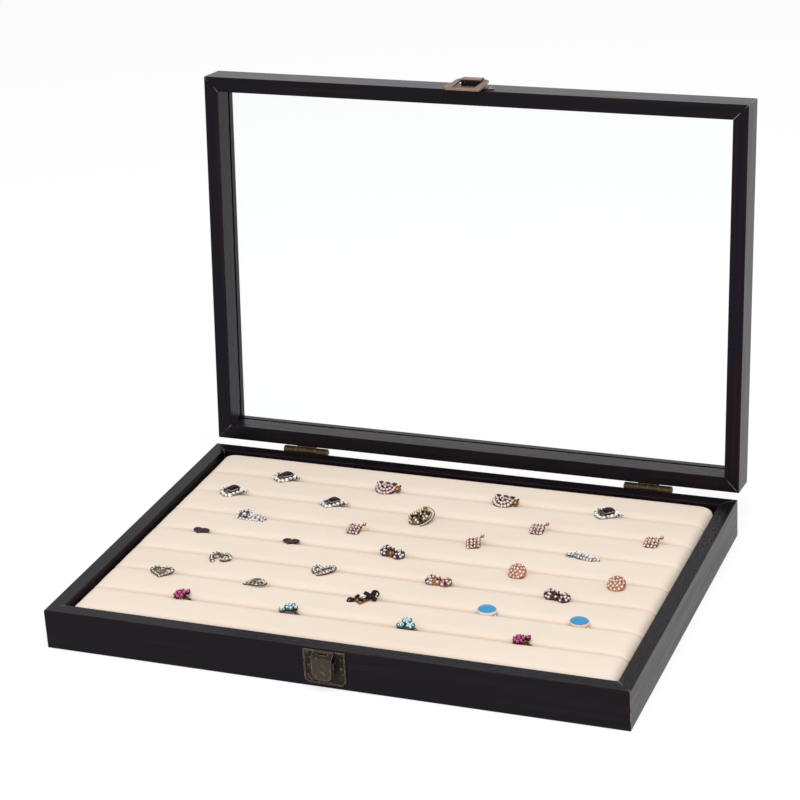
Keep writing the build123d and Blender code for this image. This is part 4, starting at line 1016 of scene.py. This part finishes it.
def dark_heart(tray, variant):
    """A low plump heart set all over with tiny dark stones."""
    outline = [(x * 1.03, y * 0.82) for x, y in heart(10.6)]
    plate(tray, "black_metal", outline, 0.0, 1.1)
    wire(tray, "dark_copper", [(x * 1.0, y * 1.0, 0.6) for x, y in outline], 0.30, closed=True)
    for reach, count in ((0.84, 18), (0.56, 11), (0.26, 5)):
        for x, y in along([(x * reach, y * reach) for x, y in outline], count):
            gem(tray, "plum_stone", (x, y, 1.05 + 0.6 * (1 - reach)), 1.4, (x * 0.06, y * 0.06, 1), sides=6, rise=0.2)


def bow(tray, variant):
    """Two plump lobes with ribs of stones, and a knot between them."""
    stones, metal, light = {
        "silver": ("lilac_stone", "dark_silver", "clear_stone"),
        "copper": ("lilac_stone", "copper", "peach_stone"),
        "brown": ("pink_stone", "dark_copper", "clear_stone"),
    }[variant]
    whole = tray.place
    for side in (-1, 1):
        tray.place = whole @ Matrix.Translation((side * 4.3, 0, 0))
        dome_shell(tray, metal if variant == "copper" else "dark_copper", 8.8, 8.2, 1.9, base=0.9, count=16)
        on = dome(8.8, 8.2, 2.1)
        for i in range(7):
            a = math.radians(-96 + i * 32 if side > 0 else 84 + i * 32)
            for reach, size in ((0.36, 1.8), (0.78, 2.0)):
                x, y = 4.4 * reach * math.cos(a), 4.2 * reach * math.sin(a)
                point, normal = on(x, y, 0.2)
                shown = stones if reach > 0.5 else light
                gem(tray, "plum_stone" if i % 3 == 1 else shown, point + Vector((0, 0, 0.9)), size, normal, sides=6)
            rib = [(r * math.cos(a + 0.28), 0.95 * r * math.sin(a + 0.28), z) for r, z in ((4.5, 0.8), (3.6, 2.3), (1.8, 3.0))]
            wire(tray, metal, rib, 0.32)
    tray.place = whole
    knot = "brown_gold" if variant == "silver" else metal
    plate(tray, knot, [(x, y - 1.2) for x, y in oval(3.4, 5.4)], 0.0, 2.3)
    gem(tray, "amber_stone" if variant == "silver" else light, (0, -1.8, 2.4), 2.0, (0, -0.4, 1))
    for x, y in ((0, 2.4), (-0.9, 1.0), (0.9, 1.0)):
        bead(tray, "dark_copper" if x else knot, (x, y, 2.8), 1.4)


def oval_pave(tray, variant):
    """A tall dome of lattice with pale stones in its windows."""
    dome_shell(tray, "bright_copper", 10.4, 10.4, 3.0, base=1.2)
    on = dome(10.4, 10.4, 3.1)
    for reach, count, size in ((0.86, 12, 1.9), (0.54, 8, 1.9), (0.22, 3, 1.9)):
        for x, y in along(oval(10.4 * reach, 10.4 * reach, 26), count, reach):
            point, normal = on(x, y, 0.15)
            gem(tray, "peach_stone", point + Vector((0, 0, 1.2)), size, normal, sides=6)
    for reach, count in ((0.70, 12), (0.38, 7)):
        for x, y in along(oval(10.4 * reach, 10.4 * reach, 26), count, 0.5 + reach):
            point, normal = on(x, y, 0.2)
            bead(tray, "copper", point + Vector((0, 0, 1.2)), 0.9, 5)
    wire(tray, "copper", [(x, y, 0.9) for x, y in oval(10.7, 10.7, 26)], 0.40, closed=True)


def stone_strip(tray, points, width, count, closed=False):
    """A narrow strip on edge with stones set along it, and dark rims on both its sides."""
    for side, finish, low in ((1, "dark_copper", 0.5), (-1, "dark_silver", 0.5)):
        edge = []
        for i, p in enumerate(points):
            before = Vector(points[i - 1] if i or closed else p)
            after = Vector(points[(i + 1) % len(points)] if i < len(points) - 1 or closed else p)
            across = (after - before).cross(Vector((0, 0, 1))).normalized()
            edge.append(Vector(p) + across * side * width / 2 + Vector((0, 0, low)))
        wire(tray, finish, edge, 0.42, closed=closed)
    wire(tray, "silver", points, width * 0.5, closed=closed)
    flat = [(p[0], p[1]) for p in points]
    stations = along(flat, count) if closed else along(flat + flat[-2::-1], 2 * count - 2)[:count]
    for x, y in stations:
        z = min(points, key=lambda p: math.hypot(p[0] - x, p[1] - y))[2]
        gem(tray, "clear_stone", (x, y, z + width * 0.42), width * 0.95, (0, -0.15, 1), sides=6, rise=0.4)


def curve(points, steps=5):
    """A smooth line through points, a Catmull-Rom spline."""
    ends = [Vector(points[0])] + [Vector(p) for p in points] + [Vector(points[-1])]
    line = []
    for a, b, c, d in zip(ends, ends[1:], ends[2:], ends[3:]):
        for i in range(steps):
            t = i / steps
            line.append(0.5 * (2 * b + (c - a) * t + (2 * a - 5 * b + 4 * c - d) * t * t
                               + (3 * b - a - 3 * c + d) * t ** 3))
    return line + [ends[-1]]


def silver_leaf(tray, variant):
    """Two open leaves of stones: a pair about a gold eye, or a long double leaf with a small loop."""
    if variant == "pair":
        stone_strip(tray, curve([(-2.6, 3.6, 1.3), (-5.6, 2.2, 1.1), (-5.6, -0.8, 0.9), (-3.2, -4.6, 0.7)]), 1.9, 6)
        stone_strip(tray, curve([(1.6, 3.0, 1.4), (4.4, 2.6, 1.3), (6.6, 0.4, 1.1)]), 1.6, 4)
        stone_strip(tray, curve([(0.8, -1.6, 0.8), (3.8, -2.0, 0.8), (6.6, 0.0, 1.0)]), 1.9, 4)
        plate(tray, "green_gold", [(x - 0.8, y + 2.8) for x, y in oval(3.8, 3.4)], 0.2, 1.6)
        gem(tray, "olive_stone", (-0.8, 3.0, 1.7), 2.2)
    else:
        stone_strip(tray, curve([(-3.2, -4.4, 0.7), (1.4, -3.0, 0.8), (6.4, 0.6, 1.0), (5.6, 2.8, 1.3),
                                 (2.2, 2.2, 1.5), (-1.2, 0.6, 1.4)]), 1.9, 11)
        stone_strip(tray, curve([(-2.4, 2.2, 1.5), (-4.4, 3.6, 1.4), (-6.2, 1.2, 1.1), (-4.8, -2.2, 0.8),
                                 (-3.2, -0.6, 1.0)]), 1.7, 7)
    wire(tray, "silver", [(-4.5, 0, 0.4), (0, 0, 0.0), (4.5, 0, 0.4)], 0.6)


def open_heart(tray, variant):
    """An open heart of stones on a thin strip, with a smaller green-gold loop inside it."""
    outline = [(x, y * 1.02, 1.1 + 0.10 * y) for x, y in heart(13.4, 26)]
    stone_strip(tray, outline, 1.9, 16, closed=True)
    wire(tray, "green_gold", [(x * 0.50 - 1.2, y * 0.5 + 1.2, 1.5) for x, y, _ in outline], 0.7, closed=True)
    gem(tray, "olive_stone", (-1.4, 2.0, 1.7), 2.0)
    wire(tray, "silver", [(-4.5, 0, 0.4), (0, 0, 0.0), (4.5, 0, 0.4)], 0.6)


def black_ornate(tray, variant):
    """Blackened wings, the right one higher, round a white stone over a gold point."""
    wings = ((-6.6, -0.6, 6.4, 3.4, 200, 1.2), (-3.4, 1.6, 6.0, 3.4, 165, 1.8), (4.6, 1.4, 6.6, 4.6, 25, 2.2),
             (6.6, 3.4, 5.4, 3.6, 60, 2.8), (7.6, -0.4, 5.0, 3.0, -20, 1.8), (1.4, 3.2, 5.0, 3.0, 10, 2.4))
    for x, y, length, width, turn, high in wings:
        place = aimed((x, y, 0), turn=turn)
        rows = [row_at(oval(length, width, 12), s, z) for s, z in ((0.8, 0.2), (1.0, high * 0.7), (0.55, high + 0.5))]
        tray.skin(rows, "black_metal", place=place)
        gem(tray, "smoke_stone", (x, y, high + 0.5), 2.2)
        bead(tray, "dark_silver", (x + 0.9, y - 1.2, high + 0.2), 0.8, 5)
    wire(tray, "black_metal", curve([(-7.4, 0.4, 1.4), (-9.8, 1.0, 1.2), (-10.4, -1.2, 1.0), (-8.8, -1.8, 1.2)]), 0.7, taper=0.7)
    wire(tray, "black_metal", curve([(7.2, 4.2, 3.0), (9.4, 3.8, 2.6), (10.6, 1.6, 2.0), (9.6, 0.4, 2.2)]), 0.7, taper=0.7)
    point = [(-5.4, -1.2), (-3.0, 0.4), (3.0, 0.4), (4.6, -1.0), (1.4, -3.4), (-0.8, -5.6), (-3.0, -3.4)]
    plate(tray, "brown_gold", point, 0.0, 1.7)
    for x, y in ((-3.2, -1.8), (-0.8, -3.6), (1.6, -1.9)):
        gem(tray, "amber_stone", (x, y, 1.8), 1.7)
    plate(tray, "black_metal", oval(6.6, 4.6), 0.2, 2.6)
    cut_stone(tray, "clear_stone", oval(4.8, 3.0, 10), 1.0, Matrix.Translation((0.0, 0.2, 2.7)))


def oval_cabochon(tray, variant):
    """A smooth turquoise oval in a plain polished bezel."""
    rim = oval(12.2, 9.4, 32)
    profile = ((0.90, -0.2), (0.96, 0.4), (0.98, 1.0), (0.96, 1.7), (0.93, 2.0), (0.90, 2.1), (0.87, 2.0), (0.86, 1.4))
    tray.skin([row_at(rim, scale, z) for scale, z in profile], variant)
    stone = [row_at(rim, 0.88, 1.6)]
    for angle in (8, 24, 42, 60, 76, 86):
        a = math.radians(angle)
        stone.append(row_at(rim, 0.88 * math.cos(a), 1.9 + 1.7 * math.sin(a)))
    tray.skin(stone, "turquoise")


def clover(tray, variant):
    """Magenta petals on gold claws, or an oval of them with a ball beside it."""
    spots = []
    if variant == "clover":
        for i in range(6):
            a = math.radians(60 * i)
            spots.append((-0.8 + 2.7 * math.cos(a), 2.3 * math.sin(a), 2.0, 3.0))
        spots += [(-0.8, 0.0, 2.5, 3.0), (4.4, 0.8, 2.2, 3.0)]
        wire(tray, "gold", [(0.2, -2.2, 1.4), (0.6, -3.4, 0.8), (0.8, -4.2, 0.2)], 0.6, taper=0.7)
        bead(tray, "gold", (-0.8, -3.2, 1.4), 1.2)
    else:
        for i in range(7):
            a = math.tau * i / 7
            spots.append((-1.6 + 2.6 * math.cos(a), 2.4 * math.sin(a), 1.9, 2.8))
        spots += [(-1.6, 0.0, 2.5, 2.9), (4.0, 1.0, 2.2, 3.4)]
    for x, y, z, size in spots:
        rim = [(px + x, py + y) for px, py in oval(size * 1.05, size * 1.05, 10)]
        tray.skin([[(px, py, z + dz) for px, py in rim] for dz in (-1.6, 0.0)], "plum_metal")
        gem(tray, "magenta_stone", (x, y, z), size * 0.94, (x * 0.05, y * 0.05, 1), sides=8)
        for k in range(3):
            a = math.radians(40 + 120 * k)
            bead(tray, "plum_metal", (x + size * 0.5 * math.cos(a), y + size * 0.5 * math.sin(a), z + 0.15), 0.8, 5)
    plate(tray, "gold", oval(6.0, 3.6), -0.1, 1.0)


def three_stone(tray, variant):
    """Pale blue stones in dark cups, side by side or as a trefoil."""
    if variant == "trefoil":
        spots = [(-2.9, -1.8, 1.5, 5.4), (3.1, -1.6, 1.5, 6.0), (0.0, 1.9, 2.1, 6.2)]
    else:
        spots = [(1.2, 0.6, 2.0, 7.2), (-3.8, -1.0, 1.4, 4.2), (4.7, -0.2, 1.6, 2.8)]
    for x, y, z, size in spots:
        rim = oval(size * 1.06, size * 0.92, 14)
        rows = [[(px * s + x, py * s + y, z + dz) for px, py in rim]
                for s, dz in ((0.8, -1.8), (1.0, -0.2), (0.98, 0.25), (0.88, 0.1))]
        tray.skin(rows, "dark_teal_metal")
        if size > 5:
            for px, py in along(oval(size * 0.62, size * 0.54, 14), 5):
                gem(tray, "aqua_stone", (px + x, py + y, z + 0.3), size * 0.34, sides=6)
            gem(tray, "aqua_stone", (x, y, z + 0.6), size * 0.36, sides=6)
        else:
            cut_stone(tray, "aqua_stone", oval(size * 0.9, size * 0.78, 9), size * 0.3, aimed((x, y, z + 0.1)))
        for k in range(4):
            a = math.radians(45 + 90 * k)
            bead(tray, "dark_teal_metal", (x + size * 0.5 * math.cos(a), y + size * 0.44 * math.sin(a), z + 0.3), 0.9, 5)
    plate(tray, "dark_silver", oval(9.0, 3.4), -0.2, 1.0)


# node: its head, the metal of its band, how much further forward it sits, and its width, depth and height
HEADS = {
    "ring_pear_halo": (pear_halo, "silver", 0.8, (1.06, 1.10, 1.0)),
    "ring_dome_cluster": (dome_cluster, "dark_copper", 0.6, (1.04, 1.04, 1.0)),
    "ring_leaf_swirl": (leaf_swirl, "green_gold", 9.0, (1.0, 1.0, 1.0)),
    "ring_square_pave": (square_pave, "dark_copper", 3.8, (1.0, 1.12, 1.0)),
    "ring_crystal_fan": (crystal_fan, "silver", 3.6, (1.0, 1.0, 0.85)),
    "ring_dark_heart": (dark_heart, "dark_copper", 1.6, (0.96, 1.0, 0.9)),
    "ring_bow": (bow, "copper", 0.4, (0.94, 0.96, 0.9)),
    "ring_oval_pave": (oval_pave, "copper", 3.8, (0.96, 0.96, 1.0)),
    "ring_silver_leaf": (silver_leaf, "silver", 5.2, (0.98, 1.0, 1.0)),
    "ring_open_heart": (open_heart, "silver", 4.4, (0.98, 0.66, 0.9)),
    "ring_black_ornate": (black_ornate, "black_metal", 4.0, (0.84, 1.08, 0.9)),
    "ring_oval_cabochon": (oval_cabochon, "silver", -0.9, (1.0, 1.0, 1.0)),
    # The clover and three-stone bands are in dark metal as painted shadow under their heads.
    "ring_clover": (clover, "dark_copper", -2.2, (0.88, 1.0, 0.94)),
    "ring_three_stone": (three_stone, "dark_silver", -2.2, (0.92, 0.88, 0.9)),
}


def stand_ring(tray, node, slot, share, turn, lean, variant):
    """A leaning ring brings its head forward over the foam, and the head rests on it."""
    head, metal, ahead, size = HEADS[node]
    forward = BAND_RADIUS * math.sin(math.radians(lean)) + ahead
    foot = Vector((share * ROLL_LENGTH / MM, slot_y(slot) / MM, ROLL_CREST / MM))
    stand = Matrix.Scale(MM, 4) @ Matrix.Translation(foot)
    tray.place = stand @ Matrix.Translation((0, -forward, 0)) @ Matrix.Rotation(math.radians(lean), 4, "X") \
        @ Matrix.Diagonal(Vector(size).to_4d()) @ Matrix.Rotation(math.radians(turn), 4, "Z")
    first = len(tray.mesh.verts)
    head(tray, variant)
    made = list(tray.mesh.verts)[first:]
    lift = ROLL_CREST - HEAD_PRESSED * MM - min(vertex.co.z for vertex in made)
    for vertex in made:
        vertex.co.z += lift
    reach = 2 * BAND_RADIUS
    tray.place = Matrix.Translation((0, 0, lift)) @ stand @ Matrix.Translation((0, 0, -reach)) \
        @ Matrix.Rotation(math.asin(forward / reach), 4, "X") @ Matrix.Translation((0, 0, reach))
    band(tray, variant if node == "ring_oval_cabochon" else metal)


def display_rings():
    for seed, (node, stands) in enumerate(RINGS.items()):
        tray = Tray(seed + 11)
        for stand in stands:
            stand_ring(tray, node, *stand)
        piece = tray.finish_piece(node.replace("ring_", "") + "_rings")
        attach(piece, "insert")
        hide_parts(node)


display_rings()


# ---------------------------------------------------------------- floor, light and camera
def studio_floor():
    """A pale floor sheet. It shows white to the camera, to gloss and through glass, less the shadow on it."""
    material, tree, surface = new_material("pale_floor")
    speck = add(tree, "TexNoise", {"Vector": object_point(tree), "Scale": 3.0}).outputs["Fac"]
    rays = add(tree, "LightPath").outputs
    seen = calculate(tree, "MAXIMUM", rays["Is Camera Ray"],
                     calculate(tree, "MAXIMUM", rays["Is Glossy Ray"], rays["Is Transmission Ray"]))
    lit = add(tree, "BsdfDiffuse", {"Color": blend_colours(tree, speck, grey(0.78), grey(0.80))})
    shadowed = add(tree, "BsdfDiffuse", {"Color": grey(0.34)})
    glow = add(tree, "Emission", {"Color": grey(1.0), "Strength": 0.72})
    shown = add(tree, "AddShader", {0: shadowed.outputs[0], 1: glow.outputs[0]})
    mixed = add(tree, "MixShader", {0: seen, 1: lit.outputs[0], 2: shown.outputs[0]})
    tree.links.new(mixed.outputs[0], surface["Surface"])
    sheet = bmesh.new()
    bmesh.ops.create_grid(sheet, x_segments=8, y_segments=8, size=6.0)
    bmesh.ops.translate(sheet, verts=sheet.verts, vec=(0, 0, -0.0002))
    data = bpy.data.meshes.new("floor")
    sheet.to_mesh(data)
    sheet.free()
    data.materials.append(material)
    floor = bpy.data.objects.new("floor", data)
    bpy.context.scene.collection.objects.link(floor)


def studio_world():
    world = bpy.data.worlds.new("white_studio")
    world.use_nodes = True
    tree = world.node_tree
    tree.nodes.clear()
    rays = add(tree, "LightPath").outputs
    seen = calculate(tree, "MAXIMUM", rays["Is Camera Ray"],
                     calculate(tree, "MAXIMUM", rays["Is Glossy Ray"], rays["Is Transmission Ray"]))
    strength = calculate(tree, "MULTIPLY_ADD", seen, 0.42, 0.58)
    sky = add(tree, "Background", {"Color": grey(1.0), "Strength": strength})
    out = tree.nodes.new("ShaderNodeOutputWorld")
    tree.links.new(sky.outputs[0], out.inputs["Surface"])
    bpy.context.scene.world = world


def soft_lamp(name, place, target, size, power):
    data = bpy.data.lights.new(name, "AREA")
    data.shape = "SQUARE"
    data.size = size
    data.energy = power
    lamp = bpy.data.objects.new(name, data)
    lamp.location = place
    lamp.rotation_euler = (Vector(target) - Vector(place)).to_track_quat("-Z", "Y").to_euler()
    lamp.visible_glossy = False
    bpy.context.scene.collection.objects.link(lamp)


def photograph_camera():
    aim = CAMERA_AIM.normalized()
    level = aim.cross(Vector((0, 0, 1))).normalized()
    upright = level.cross(aim)
    right = level * math.cos(CAMERA_ROLL) + upright * math.sin(CAMERA_ROLL)
    up = upright * math.cos(CAMERA_ROLL) - level * math.sin(CAMERA_ROLL)
    data = bpy.data.cameras.new("camera")
    data.lens = CAMERA_LENS
    data.sensor_width = 36.0
    camera = bpy.data.objects.new("camera", data)
    camera.matrix_world = Matrix.Translation(CAMERA_PLACE) @ Matrix((right, up, -aim)).transposed().to_4x4()
    bpy.context.scene.collection.objects.link(camera)
    bpy.context.scene.camera = camera


studio_floor()
studio_world()
soft_lamp("soft_box", (0.40, -0.80, 1.60), (0.0, 0.0, 0.05), 1.4, 22.0)
photograph_camera()
bpy.context.scene.view_settings.view_transform = "Standard"
